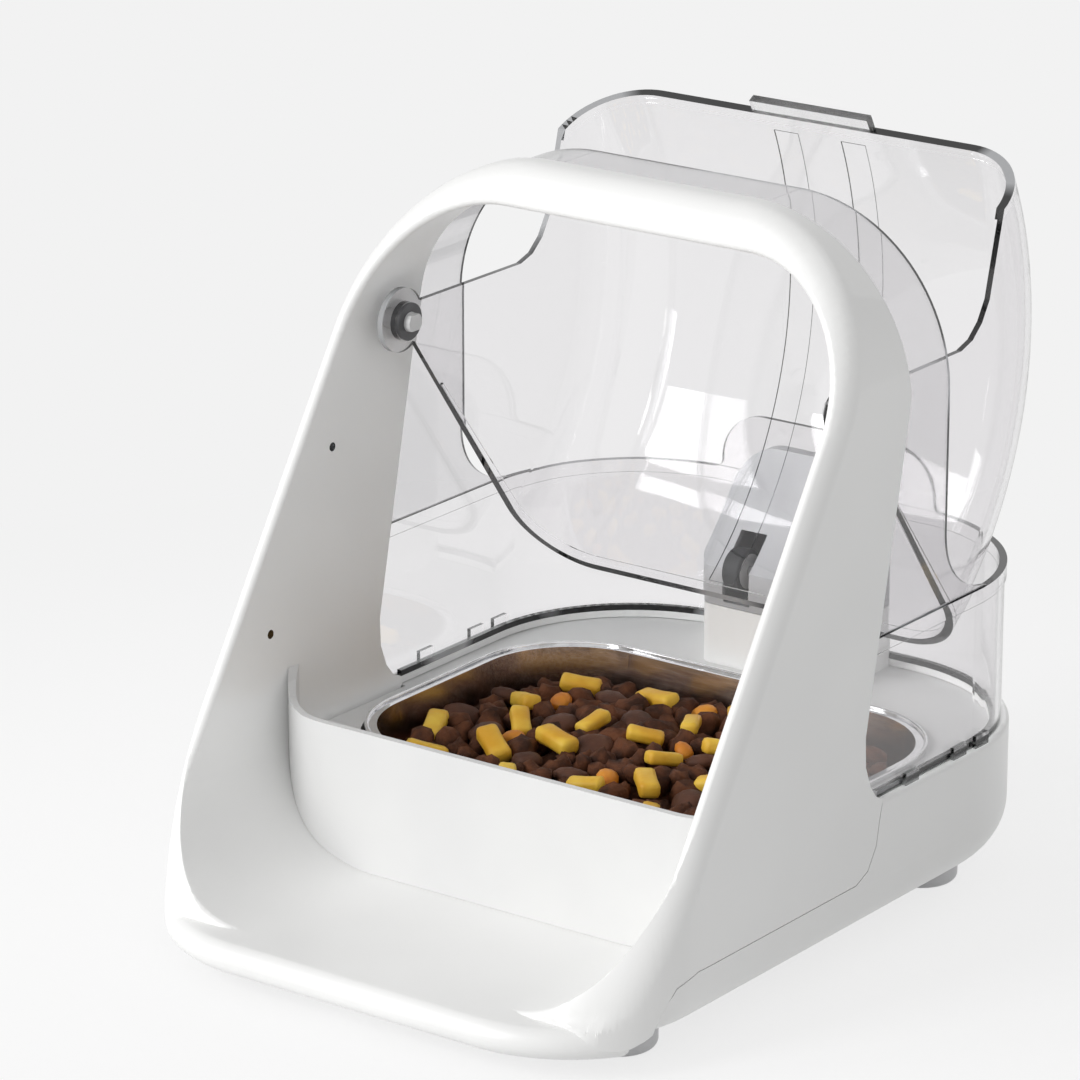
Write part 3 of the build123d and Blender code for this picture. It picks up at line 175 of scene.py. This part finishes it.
materials = {
    # gloss ABS: bright white with soft broad highlights
    "white": mouldedPlastic("absWhiteGlossMoulded", {
        "low": "F1F1F0", "high": "F7F7F6", "cloudMm": 90, "polishMm": 25, "rough": 0.34, "roughSpread": 0.03,
        "grainMm": 1.4, "grain": 0.04, "ior": 1.54}),
    # satin ABS: a duller pale grey that sets the deck off from the arch
    "deck": mouldedPlastic("absPaleGreySatinMoulded", {
        "low": "DFDFDF", "high": "E6E6E5", "cloudMm": 70, "polishMm": 20, "rough": 0.38, "roughSpread": 0.04,
        "grainMm": 1.0, "grain": 0.08, "ior": 1.54}),
    # polished polycarbonate: nearly colourless, with painted shade only where it turns away
    "clear": clearPlastic("polycarbonateClearPolished", {
        "flowMm": 45, "flow": 0.12, "flowDepth": 0.0004, "edgeBlend": 0.5, "edgeStart": 0.8, "edgeEnd": 0.99,
        "body": "F9F8F9", "grazingShade": "EAE9EA", "edge": "3C3D3F", "rough": 0.02, "ior": 1.5, "shadow": "F4F6F6"}),
    # the collar is a slightly greyer sheet whose painted shade starts sooner where it turns away, so the hood
    # reads as a grey band
    "hoodClearPaintedShade": clearPlastic("polycarbonateClearHood", {
        "flowMm": 45, "flow": 0.12, "flowDepth": 0.0004, "edgeBlend": 0.5, "edgeStart": 0.7, "edgeEnd": 0.99,
        "body": "F1F0F1", "grazingShade": "D2D1D3", "edge": "3C3D3F", "rough": 0.02, "ior": 1.5, "shadow": "F0F0F1"}),
    # frosted polycarbonate: milky, blurs what lies behind it, with a lighter painted shade where it turns
    # away
    "milkyClear": clearPlastic("polycarbonateFrostedTab", {
        "flowMm": 20, "flow": 0.1, "flowDepth": 0.0004, "edgeBlend": 0.5, "edgeStart": 0.6, "edgeEnd": 0.98,
        "body": "FDFDFD", "grazingShade": "EDEDEE", "edge": "77787A", "rough": 0.22, "ior": 1.45,
        "shadow": "F6F6F6"}),
    # cut polycarbonate edge: a line of painted shade, with runs of painted highlight, that outlines every
    # clear part
    "edgePaintedShade": paintedEdgeShade("polycarbonateEdgePaintedShade", {
        "highlightRunMm": 60, "paintedShadeTo": 0.52, "paintedHighlightFrom": 0.60, "paintedShade": "060607", "paintedHighlight": "A9AAAC",
        "rough": 0.04, "roughSpread": 0.06, "ior": 1.58}),
    # polished stainless rim: one bright line round the bowl
    "rim": brushedSteel("stainlessRimPolished", {
        "stretch": (1.0, 1.0, 1.0), "lineMm": 8, "low": "DCDCDD", "high": "EFEFF0",
        "rough": 0.1, "roughSpread": 0.02, "brush": 0.02}),
    # brushed stainless sheet, its base colour tinted brown as a painted reflection of the food around it;
    # lines drawn coarser than the real ones to show
    "steel": brushedSteel("stainlessSheetPaintedFoodReflection", {
        "stretch": (0.06, 1.0, 1.0), "lineMm": 1.2, "low": "A59187", "high": "C9B8AD",
        "rough": 0.24, "roughSpread": 0.05, "brush": 0.08}),
    # acetal: plain pale grey with a low sheen
    "pin": mouldedPlastic("acetalGreyMoulded", {
        "low": "C8C8C9", "high": "D6D6D6", "cloudMm": 12, "polishMm": 6, "rough": 0.34, "roughSpread": 0.04,
        "grainMm": 0.8, "grain": 0.08, "ior": 1.48}),
    # nylon: a dark ring that marks the hinge
    "bush": mouldedPlastic("nylonDarkMoulded", {
        "low": "3A3A3C", "high": "48484A", "cloudMm": 12, "polishMm": 6, "rough": 0.3, "roughSpread": 0.05,
        "grainMm": 0.8, "grain": 0.1, "ior": 1.53}),
    # satin ABS in mid grey: soft even shading on the column head
    "columnGrey": mouldedPlastic("absMidGreySatinMoulded", {
        "low": "B0B0B2", "high": "BBBBBD", "cloudMm": 40, "polishMm": 14, "rough": 0.36, "roughSpread": 0.04,
        "grainMm": 0.9, "grain": 0.1, "ior": 1.54}),
    # moulded rubber: black and matt, no highlight
    "rubber": mouldedPlastic("rubberBlackMoulded", {
        "low": "17171A", "high": "222225", "cloudMm": 10, "polishMm": 5, "rough": 0.7, "roughSpread": 0.06,
        "grainMm": 0.7, "grain": 0.25, "ior": 1.52}),
    # pale soft rubber: a dusty, even surface
    "foot": mouldedPlastic("rubberPaleMoulded", {
        "low": "D8D8DA", "high": "E2E2E3", "cloudMm": 14, "polishMm": 6, "rough": 0.42, "roughSpread": 0.05,
        "grainMm": 0.9, "grain": 0.12, "ior": 1.5}),
    # infrared filter window: a small glossy black dot
    "infrared": mouldedPlastic("infraredWindowDark", {
        "low": "141416", "high": "1E1E21", "cloudMm": 4, "polishMm": 2, "rough": 0.12, "roughSpread": 0.02,
        "grainMm": 0.5, "grain": 0.03, "ior": 1.56}),
    # coated fibreglass: green with a slightly mottled shine
    "board": mouldedPlastic("fibreglassBoardGreen", {
        "low": "1D5A3A", "high": "246B46", "cloudMm": 6, "polishMm": 3, "rough": 0.4, "roughSpread": 0.05,
        "grainMm": 0.6, "grain": 0.15, "ior": 1.55}),
    # turned steel: grey with fine lines round the shaft
    "turnedSteel": brushedSteel("steelTurned", {
        "stretch": (1.0, 0.1, 0.1), "lineMm": 0.6, "low": "A6A6A8", "high": "C4C4C6",
        "rough": 0.28, "roughSpread": 0.05, "brush": 0.1}),
    # enamelled winding wire: orange brown metal with fine turns
    "copper": brushedSteel("copperWireEnamelled", {
        "stretch": (0.1, 0.1, 1.0), "lineMm": 0.5, "low": "A8642F", "high": "C98244",
        "rough": 0.3, "roughSpread": 0.05, "brush": 0.2}),
    # nylon: the black body of the power socket
    "socket": mouldedPlastic("nylonBlackSocket", {
        "low": "1A1A1C", "high": "232326", "cloudMm": 6, "polishMm": 3, "rough": 0.4, "roughSpread": 0.05,
        "grainMm": 0.6, "grain": 0.12, "ior": 1.53}),
    # shrunk plastic film: smooth dark skin of a battery cell
    "sleeve": mouldedPlastic("batterySleeveFilm", {
        "low": "2A2B2E", "high": "34363A", "cloudMm": 15, "polishMm": 6, "rough": 0.25, "roughSpread": 0.03,
        "grainMm": 0.8, "grain": 0.05, "ior": 1.5}),
}
print("materials made:", len(materials))

# CAD nodes and the finish each one wears
finishes = {
    "white": ["base_shell", "arch_shell", "column_base", "battery_hatch",
              "pairing_button", "training_button"],
    "deck": ["deck_tray"],
    "clear": ["rear_enclosure", "lid"],
    "hoodClearPaintedShade": ["hood_collar"],
    "milkyClear": ["lid_tab"],
    "steel": ["bowl"],
    "pin": ["pivot_pin_left", "pivot_pin_right", "roller_left", "roller_right",
            "axle_gear", "idler_gear", "motor_pinion", "battery_box"],
    "bush": ["pivot_bush_left", "pivot_bush_right", "axle_bearing_left", "axle_bearing_right"],
    "columnGrey": ["column_head"],
    "rubber": ["tyre_left", "tyre_right"],
    "foot": ["foot_front_left", "foot_front_right", "foot_rear_left", "foot_rear_right"],
    "infrared": ["infrared_sensor_left_upper", "infrared_sensor_left_lower",
                 "infrared_sensor_right_upper", "infrared_sensor_right_lower"],
    "board": ["main_board", "button_board"],
    "turnedSteel": ["roller_axle", "idler_pin", "motor_shaft", "gear_motor", "drive_bracket",
                    "base_screws", "battery_contacts_left", "battery_contacts_right"],
    "copper": ["reader_coil"],
    "socket": ["power_socket"],
    "sleeve": ["battery_cell_1", "battery_cell_2", "battery_cell_3", "battery_cell_4"],
}
for finish, names in finishes.items():
    for name in names:
        nodes[name].data.materials.clear()
        nodes[name].data.materials.append(materials[finish])
print("CAD nodes dressed")

# the thin edges of the clear sheets get the painted edge shade: a ray into a wall soon leaves it, one into an
# edge doesn't, and neither the snap teeth nor the lid's ears count
sheets = ("rear_enclosure", "hood_collar", "lid")
edges = {
    "wall": 0.0042, "earReach": 0.0125, "toothBeyondX": 0.1155, "toothBelowZ": 0.0716, "rayStart": 0.00001}
pinLow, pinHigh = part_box("pivot_pin_left")
swing = (pinLow + pinHigh) / 2
for name in sheets:
    mesh = nodes[name].data
    mesh.materials.append(materials["edgePaintedShade"])
    tree = BVHTree.FromPolygons([v.co for v in mesh.vertices], [p.vertices for p in mesh.polygons])
    for polygon in mesh.polygons:
        centre, inward = polygon.center, -polygon.normal
        hit = tree.ray_cast(centre + inward * edges["rayStart"], inward)
        atTeeth = abs(centre.x) > edges["toothBeyondX"] and centre.z < edges["toothBelowZ"]
        tooth = name == "rear_enclosure" and atTeeth
        ear = name == "lid" and math.hypot(centre.y - swing.y, centre.z - swing.z) < edges["earReach"]
        if (hit[0] is None or hit[3] > edges["wall"]) and not tooth and not ear:
            polygon.material_index = 1
print("clear edges picked")

# rolled rim of the bowl is polished, the pan below it brushed
rimDepth = 0.003
bowlLow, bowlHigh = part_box("bowl")
bowlMesh = nodes["bowl"].data
bowlMesh.materials.append(materials["rim"])
for polygon in bowlMesh.polygons:
    if polygon.center.z > bowlHigh.z - rimDepth:
        polygon.material_index = 1


def selectOnly(piece):
    bpy.ops.object.select_all(action="DESELECT")
    piece.select_set(True)
    bpy.context.view_layer.objects.active = piece


# arch, with the leg running into the porch lip at both lower front corners
archLow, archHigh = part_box("arch_shell")
lip = {"low": 0.0089, "high": 0.0213, "corner": 0.062}
blend = {
    "round": 0.013, "join": 0.008, "joinFrom": 0.074, "joinOver": 0.03,  # leg rounding, fillet to the lip
    "lean": 0.64, "rimY": -0.0245, "rimZ": 0.219,  # leaning front plane
    "topZ": 0.125, "frontY": -0.08,  # what lies higher or further back is left alone
    "edge": 0.0036, "passes": 7, "samples": 4,  # how finely the mesh is cut there
    "shell": 0.004, "reach": 0.008, "skin": 0.0003, "least": 0.0001, "noJoin": 0.00001,  # what is moved
    "step": 0.0001, "pulls": 3, "mergeAt": 0.00002, "smoothTo": math.radians(32),
}


def leaningFront(spot):
    # how far a spot lies in front of the leaning face of the arch
    frontY = blend["rimY"] + blend["lean"] * (spot.z - blend["rimZ"])
    return (frontY - spot.y) / math.hypot(1, blend["lean"])


def outline(spot):
    # how far a spot lies outside the plan outline with its round front corners
    sideways = abs(spot.x) - (archHigh.x - lip["corner"])
    forward = archLow.y + lip["corner"] - spot.y
    return math.hypot(max(sideways, 0), max(forward, 0)) + min(max(sideways, forward), 0) - lip["corner"]


def lipSurface(spot):
    # distance to the porch lip, a slab with a fully rounded edge
    half = (lip["high"] - lip["low"]) / 2
    rise = abs(spot.z - (lip["high"] + lip["low"]) / 2)
    reach = outline(spot) + half
    return math.hypot(reach, rise) - half if reach > 0 else rise - half


def legSurface(spot, radius):
    front, side = leaningFront(spot), outline(spot)
    return min(-radius, max(front, side)) + math.hypot(max(radius + front, 0), max(radius + side, 0))


def sharpSurface(spot):
    return min(max(leaningFront(spot), outline(spot)), lipSurface(spot))


def blendedSurface(spot):
    # leg and lip run into each other near the legs, above the lip's middle, and never past the plan outline
    leg, edge = legSurface(spot, blend["round"]), lipSurface(spot)
    across = min(max((abs(spot.x) - blend["joinFrom"]) / blend["joinOver"], 0), 1)
    up = min(max((spot.z - lip["low"]) / (lip["high"] - lip["low"]) * 2 - 1, 0), 1)
    join = blend["noJoin"] + blend["join"] * across * up
    joined = max(join, min(leg, edge)) - math.hypot(max(join - leg, 0), max(join - edge, 0))
    return max(joined, outline(spot))


def inBlend(spot):
    near = spot.z < blend["topZ"] and abs(sharpSurface(spot)) < blend["shell"]
    return near and abs(blendedSurface(spot) - sharpSurface(spot)) > blend["least"]


def towards(spot):
    # direction in which the blended surface is left fastest
    step = blend["step"]
    slopes = []
    for axis in (Vector((step, 0, 0)), Vector((0, step, 0)), Vector((0, 0, step))):
        slopes.append(blendedSurface(spot + axis) - blendedSurface(spot - axis))
    return Vector(slopes).normalized()


def crossesBlend(start, end):
    if (end - start).length <= blend["edge"]:
        return False
    if min(start.z, end.z) >= blend["topZ"] or min(start.y, end.y) >= blend["frontY"]:
        return False
    return any(inBlend(start.lerp(end, part / blend["samples"])) for part in range(blend["samples"] + 1))


def halveEdges(piece):
    # halve the long edges that cross the blend
    bpy.ops.object.mode_set(mode="EDIT")
    bpy.ops.mesh.select_all(action="DESELECT")
    bpy.ops.object.mode_set(mode="OBJECT")
    spots = [vertex.co for vertex in piece.data.vertices]
    for edge in piece.data.edges:
        edge.select = crossesBlend(spots[edge.vertices[0]], spots[edge.vertices[1]])
    bpy.ops.object.mode_set(mode="EDIT")
    bpy.ops.mesh.subdivide(number_cuts=1)
    bpy.ops.mesh.select_all(action="SELECT")
    bpy.ops.mesh.quads_convert_to_tris()
    bpy.ops.object.mode_set(mode="OBJECT")


def blendCorners(node, name):
    piece = nodes[node].copy()
    piece.data = nodes[node].data.copy()
    piece.name = name
    piece.data.name = name
    for key in list(piece.keys()):
        del piece[key]
    piece.parent = None
    bpy.context.collection.objects.link(piece)
    selectOnly(piece)
    bpy.ops.object.mode_set(mode="EDIT")
    bpy.ops.mesh.select_all(action="SELECT")
    bpy.ops.mesh.remove_doubles(threshold=blend["mergeAt"])
    bpy.ops.mesh.customdata_custom_splitnormals_clear()
    bpy.ops.mesh.select_mode(type="EDGE")
    bpy.ops.object.mode_set(mode="OBJECT")
    for passNumber in range(blend["passes"]):
        halveEdges(piece)
    # pull the skin onto the blended surface
    for vertex in piece.data.vertices:
        outside = blendedSurface(vertex.co)
        onSkin = abs(sharpSurface(vertex.co)) < blend["skin"] or -blend["least"] < outside < blend["reach"]
        if onSkin and inBlend(vertex.co):
            for pull in range(blend["pulls"]):
                vertex.co = vertex.co - towards(vertex.co) * blendedSurface(vertex.co)
    bpy.ops.object.mode_set(mode="EDIT")
    bpy.ops.mesh.select_all(action="SELECT")
    bpy.ops.mesh.normals_make_consistent(inside=False)
    bpy.ops.object.mode_set(mode="OBJECT")
    bpy.ops.object.shade_smooth_by_angle(angle=blend["smoothTo"])
    even = piece.modifiers.new("even", "WEIGHTED_NORMAL")
    even.keep_sharp = True
    bpy.ops.object.modifier_apply(modifier="even")
    return piece


arch = blendCorners("arch_shell", "archShell")
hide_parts("arch_shell")
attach(arch, "housing")
print("arch corners blended:", len(arch.data.polygons), "faces")


def mergeCopies(model, places, name):
    # one copy of the model for each place, joined into one piece
    copies = []
    for place in places:
        copy = model.copy()
        copy.data = model.data.copy()
        copy.matrix_world = place
        bpy.context.collection.objects.link(copy)
        copies.append(copy)
    bpy.data.objects.remove(model)
    bpy.ops.object.select_all(action="DESELECT")
    for copy in copies:
        copy.select_set(True)
    bpy.context.view_layer.objects.active = copies[0]
    bpy.ops.object.transform_apply(location=True, rotation=True, scale=True)
    bpy.ops.object.join()
    piece = bpy.context.object
    piece.name = name
    piece.data.name = name
    return piece


def roughLump(lump):
    # extruded nugget: a small ball pulled out of shape
    bpy.ops.mesh.primitive_ico_sphere_add(subdivisions=2, radius=0.5)
    nugget = bpy.context.object
    bpy.ops.object.mode_set(mode="EDIT")
    bpy.ops.mesh.select_all(action="SELECT")
    bpy.ops.transform.resize(value=lump["size"])
    bpy.ops.object.mode_set(mode="OBJECT")
    clouds = bpy.data.textures.new("nuggetClouds", "CLOUDS")
    clouds.noise_scale = lump["unevenMm"] / mmPerMetre
    push = nugget.modifiers.new("push", "DISPLACE")
    push.texture = clouds
    push.strength = lump["push"]
    push.texture_coords = "LOCAL"
    bpy.ops.object.modifier_apply(modifier="push")
    bpy.ops.object.shade_smooth()
    return nugget


def softStick(stick):
    # cut length of a soft extruded bar, pinched in the middle, with rounded edges
    length, width, height = stick["size"]
    bpy.ops.mesh.primitive_cube_add(size=1)
    bar = bpy.context.object
    bpy.ops.object.mode_set(mode="EDIT")
    bpy.ops.mesh.select_all(action="SELECT")
    bpy.ops.transform.resize(value=(length, width, height))
    bpy.ops.mesh.subdivide(number_cuts=1)
    bpy.ops.object.mode_set(mode="OBJECT")
    for vertex in bar.data.vertices:
        if abs(vertex.co.x) < length * 0.1:
            vertex.co.y *= stick["waist"]
            vertex.co.z *= stick["waist"]
    bevel = bar.modifiers.new("round", "BEVEL")
    bevel.width = min(width, height) * stick["rounding"]
    bevel.segments = 2
    bevel.limit_method = "ANGLE"
    bpy.ops.object.modifier_apply(modifier="round")
    bpy.ops.object.shade_smooth()
    return bar


def foodSkin(name, look):
    # baked crumb: two browns or yellows in clouds, coarse dull skin
    material, tree, spot = newMaterial(name)
    cloud = addNode(tree, "ShaderNodeTexNoise",
                    {"Scale": mmPerMetre / look["cloudMm"], "Detail": 3.0}, {"Vector": spot})
    tint = addNode(tree, "ShaderNodeValToRGB",
                   {"stops": [(0.35, look["low"]), (0.65, look["high"])]}, {"Fac": cloud.outputs["Fac"]})
    crumb = addNode(tree, "ShaderNodeTexNoise",
                    {"Scale": mmPerMetre / look["crumbMm"], "Detail": 5.0, "Roughness": 0.65},
                    {"Vector": spot})
    rough = addNode(tree, "ShaderNodeMapRange",
                    {"To Min": look["rough"] - 0.08, "To Max": look["rough"] + 0.08},
                    {"Value": crumb.outputs["Fac"]})
    bump = addNode(tree, "ShaderNodeBump",
                   {"Strength": look["crumb"], "Distance": 0.0008}, {"Height": crumb.outputs["Fac"]})
    skin = addNode(tree, "ShaderNodeBsdfPrincipled", {"IOR": look["ior"]},
                   {"Base Color": tint.outputs["Color"], "Roughness": rough.outputs["Result"],
                    "Normal": bump.outputs["Normal"]})
    addNode(tree, "ShaderNodeOutputMaterial", links={"Surface": skin.outputs["BSDF"]})
    return material


# dry food in the bowl: the heap it lies on, then each kind
bowlMiddle = (bowlLow + bowlHigh) / 2
dish = {
    "wallInset": 0.0135, "corner": 0.036, "levelDrop": 0.0155, "heap": 0.004,
    "margin": 0.003, "marginUnder": 0.001, "tries": 60, "grow": (0.85, 1.15), "seed": 23,
}
dishHalfX = (bowlHigh.x - bowlLow.x) / 2 - dish["wallInset"]
dishHalfY = (bowlHigh.y - bowlLow.y) / 2 - dish["wallInset"]
draw = random.Random(dish["seed"])


def insideDish(x, y, margin):
    # inside the rounded rectangle of the bowl, kept off the wall
    overX = max(abs(x) - (dishHalfX - dish["corner"]), 0)
    overY = max(abs(y - bowlMiddle.y) - (dishHalfY - dish["corner"]), 0)
    return math.hypot(overX, overY) < dish["corner"] - margin


def heapHeight(x, y):
    fallX = 1 - (x / dishHalfX) ** 2
    fallY = 1 - ((y - bowlMiddle.y) / dishHalfY) ** 2
    return bowlHigh.z - dish["levelDrop"] + dish["heap"] * max(fallX * fallY, 0)


def scatter(count, apart, reach, margin, taken):
    # spots in the dish, apart from each other and beside the pieces that lie there
    spots = []
    for attempt in range(count * dish["tries"]):
        x = bowlMiddle.x + draw.uniform(-dishHalfX, dishHalfX)
        y = bowlMiddle.y + draw.uniform(-dishHalfY, dishHalfY)
        if not insideDish(x, y, margin):
            continue
        clearOfOwn = all(math.hypot(x - a, y - b) > apart for a, b in spots)
        if clearOfOwn and all(math.hypot(x - a, y - b) > (reach + other) / 2 for a, b, other in taken):
            spots.append((x, y))
        if len(spots) == count:
            break
    return spots


def tumbled(x, y, lift, tilt):
    # pose of a nugget at a spot on the heap
    turn = Matrix.Rotation(draw.uniform(0, 2 * math.pi), 4, "Z")
    for axis in ("X", "Y"):
        turn = turn @ Matrix.Rotation(draw.uniform(-tilt, tilt), 4, axis)
    grow = draw.uniform(*dish["grow"])
    return Matrix.Translation((x, y, heapHeight(x, y) + lift)) @ turn @ Matrix.Diagonal((grow, grow, grow, 1))


foods = {
    # baked meal: dark, rough and dull
    "brown": foodSkin("kibbleBrownBaked", {
        "low": "3B2114", "high": "6E4229", "cloudMm": 7, "crumbMm": 1.4, "rough": 0.74,
        "crumb": 0.9, "ior": 1.36}),
    # pressed meal: smoother and a little lighter
    "heart": foodSkin("kibbleBrownPressed", {
        "low": "4A2C1E", "high": "66402D", "cloudMm": 14, "crumbMm": 1.1, "rough": 0.6,
        "crumb": 0.35, "ior": 1.38}),
    # soft extruded dough: even yellow with a slight sheen
    "yellow": foodSkin("kibbleYellowSoft", {
        "low": "E3A92C", "high": "F6CF4E", "cloudMm": 16, "crumbMm": 1.8, "rough": 0.46,
        "crumb": 0.3, "ior": 1.42}),
    # the same dough in orange
    "orange": foodSkin("kibbleOrangeSoft", {
        "low": "C9741C", "high": "E79A34", "cloudMm": 12, "crumbMm": 1.5, "rough": 0.46,
        "crumb": 0.3, "ior": 1.42}),
}
# reach is the width that a piece keeps free on top of the heap; what has none lies under the rest
kibble = {
    "kibbleSticks": {
        "food": "yellow", "make": softStick, "size": (0.0175, 0.0082, 0.0064), "waist": 0.94, "rounding": 0.3,
        "count": 26, "apart": 0.022, "reach": 0.0135, "lift": 0.0056, "tilt": 0.3},
    "kibbleDiscs": {
        "food": "orange", "make": roughLump, "size": (0.011, 0.0095, 0.0065), "unevenMm": 12, "push": 0.001,
        "count": 7, "apart": 0.04, "reach": 0.010, "lift": 0.0032, "tilt": 0.5},
    "kibbleFlats": {
        "food": "heart", "make": roughLump, "size": (0.0175, 0.0145, 0.008), "unevenMm": 14, "push": 0.004,
        "count": 18, "apart": 0.024, "reach": 0.013, "lift": 0.0026, "tilt": 0.4},
    "kibbleRounds": {
        "food": "brown", "make": roughLump, "size": (0.0125, 0.0105, 0.0095), "unevenMm": 5, "push": 0.009,
        "count": 110, "apart": 0.0115, "reach": 0.0085, "lift": 0.0016, "tilt": 1.2},
    "kibbleLongs": {
        "food": "brown", "make": roughLump, "size": (0.0165, 0.0078, 0.0078), "unevenMm": 5, "push": 0.007,
        "count": 90, "apart": 0.010, "reach": 0.0075, "lift": 0.001, "tilt": 0.8},
    "kibbleCrumbs": {
        "food": "brown", "make": roughLump, "size": (0.0095, 0.008, 0.0075), "unevenMm": 4, "push": 0.006,
        "count": 160, "apart": 0.0075, "reach": 0.0065, "lift": 0.001, "tilt": 1.2},
    "kibbleUnder": {
        "food": "brown", "make": roughLump, "size": (0.014, 0.012, 0.011), "unevenMm": 8, "push": 0.004,
        "count": 190, "apart": 0.0105, "reach": 0, "lift": -0.007, "tilt": 1.2},
}
taken = []
for name, kind in kibble.items():
    reach = kind["reach"]
    onTop = reach > 0
    margin = dish["margin"] if onTop else dish["marginUnder"]
    spots = scatter(kind["count"], kind["apart"], reach, margin, taken if onTop else [])
    if onTop:
        taken += [(x, y, reach) for x, y in spots]
    places = [tumbled(x, y, kind["lift"], kind["tilt"]) for x, y in spots]
    piece = mergeCopies(kind["make"](kind), places, name)
    piece.data.materials.clear()
    piece.data.materials.append(foods[kind["food"]])
    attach(piece, "bowl")
    print(name, len(spots))

studio = {
    "backdrop": "F2F2F2", "floorRadius": 3.0, "fadeStart": 0.22, "fadeEnd": 0.55,
    "ambient": 0.50, "shade": "8C8C8C", "lift": 0.73, "bounce": "E6E6E6",
}

# floor: lit sheet that keeps the shadow and fades into the backdrop; diffuse rays see plain paper instead
bpy.ops.object.select_all(action="DESELECT")
bpy.ops.mesh.primitive_circle_add(
    vertices=64, radius=studio["floorRadius"], fill_type="NGON", location=(0, 0, 0))
floor = bpy.context.object
floor.name = "studioFloor"
floorMaterial, tree, spot = newMaterial("floorPaleSeamless")
distance = addNode(tree, "ShaderNodeVectorMath", {"operation": "LENGTH"}, {0: spot})
fade = addNode(tree, "ShaderNodeMapRange",
               {"interpolation_type": "SMOOTHSTEP",
                "From Min": studio["fadeStart"], "From Max": studio["fadeEnd"]},
               {"Value": distance.outputs["Value"]})
path = addNode(tree, "ShaderNodeLightPath")
shaded = addNode(tree, "ShaderNodeBsdfDiffuse", {"Color": hexColour(studio["shade"])})
lift = addNode(tree, "ShaderNodeEmission", {"Color": (1, 1, 1, 1), "Strength": studio["lift"]})
paper = addNode(tree, "ShaderNodeAddShader", links={0: shaded.outputs["BSDF"], 1: lift.outputs["Emission"]})
glow = addNode(tree, "ShaderNodeEmission", {"Color": hexColour(studio["backdrop"]), "Strength": 1.0})
seenFloor = addNode(tree, "ShaderNodeMixShader", links={
    0: fade.outputs["Result"], 1: paper.outputs["Shader"], 2: glow.outputs["Emission"]})
bounce = addNode(tree, "ShaderNodeBsdfDiffuse", {"Color": hexColour(studio["bounce"])})
sheet = addNode(tree, "ShaderNodeMixShader", links={
    0: path.outputs["Is Diffuse Ray"], 1: seenFloor.outputs["Shader"], 2: bounce.outputs["BSDF"]})
addNode(tree, "ShaderNodeOutputMaterial", links={"Surface": sheet.outputs["Shader"]})
floor.data.materials.append(floorMaterial)

world = bpy.data.worlds.new("studioWorld")
bpy.context.scene.world = world
world.use_nodes = True
tree = world.node_tree
tree.nodes.clear()
path = addNode(tree, "ShaderNodeLightPath")
clearView = addNode(tree, "ShaderNodeMath", {"operation": "MAXIMUM"},
                    {0: path.outputs["Is Camera Ray"], 1: path.outputs["Is Transmission Ray"]})
seen = addNode(tree, "ShaderNodeMath", {"operation": "MAXIMUM"},
               {0: clearView.outputs["Value"], 1: path.outputs["Is Glossy Ray"]})
plain = addNode(tree, "ShaderNodeBackground", {"Color": hexColour(studio["backdrop"]), "Strength": 1.0})
soft = addNode(tree, "ShaderNodeBackground", {"Color": (1, 1, 1, 1), "Strength": studio["ambient"]})
mixed = addNode(tree, "ShaderNodeMixShader", links={
    0: seen.outputs["Value"], 1: soft.outputs["Background"], 2: plain.outputs["Background"]})
addNode(tree, "ShaderNodeOutputWorld", links={"Surface": mixed.outputs["Shader"]})

lamps = {
    "key": {"at": (-0.8, -2.2, 1.05), "aim": (0, 0, 0.12), "size": (0.8, 1.7), "power": 30},
    "window": {"at": (-1.5, -1.72, 1.45), "aim": (0, 0, 0.15), "size": (0.5, 0.9), "power": 7.5},
    "strip": {"at": (-1.75, -1.35, 1.3), "aim": (0, 0, 0.15), "size": (0.12, 1.7), "power": 3.5},
}
for name, lamp in lamps.items():
    data = bpy.data.lights.new(name, "AREA")
    data.shape = "RECTANGLE"
    data.size, data.size_y = lamp["size"]
    data.energy = lamp["power"]
    light = bpy.data.objects.new(name, data)
    light.location = lamp["at"]
    light.rotation_euler = (Vector(lamp["aim"]) - Vector(lamp["at"])).to_track_quat("-Z", "Y").to_euler()
    bpy.context.collection.objects.link(light)

view = {
    "at": (1.1922, -1.6569, 0.8300), "right": (0.8046, 0.5938, 0.0), "forward": (-0.5634, 0.7634, -0.3158),
    "lens": 186.23, "sensor": 36, "farEnd": 20,
}
cameraData = bpy.data.cameras.new("camera")
cameraData.lens = view["lens"]
cameraData.sensor_width = view["sensor"]
cameraData.sensor_fit = "HORIZONTAL"
cameraData.clip_end = view["farEnd"]
camera = bpy.data.objects.new("camera", cameraData)
right = Vector(view["right"]).normalized()
forward = Vector(view["forward"]).normalized()
up = right.cross(forward).normalized()
turn = Matrix((right, up, -forward)).transposed()
camera.matrix_world = Matrix.Translation(view["at"]) @ turn.to_4x4()
bpy.context.collection.objects.link(camera)
bpy.context.scene.camera = camera
bpy.context.scene.view_settings.view_transform = "Standard"
print("studio set")
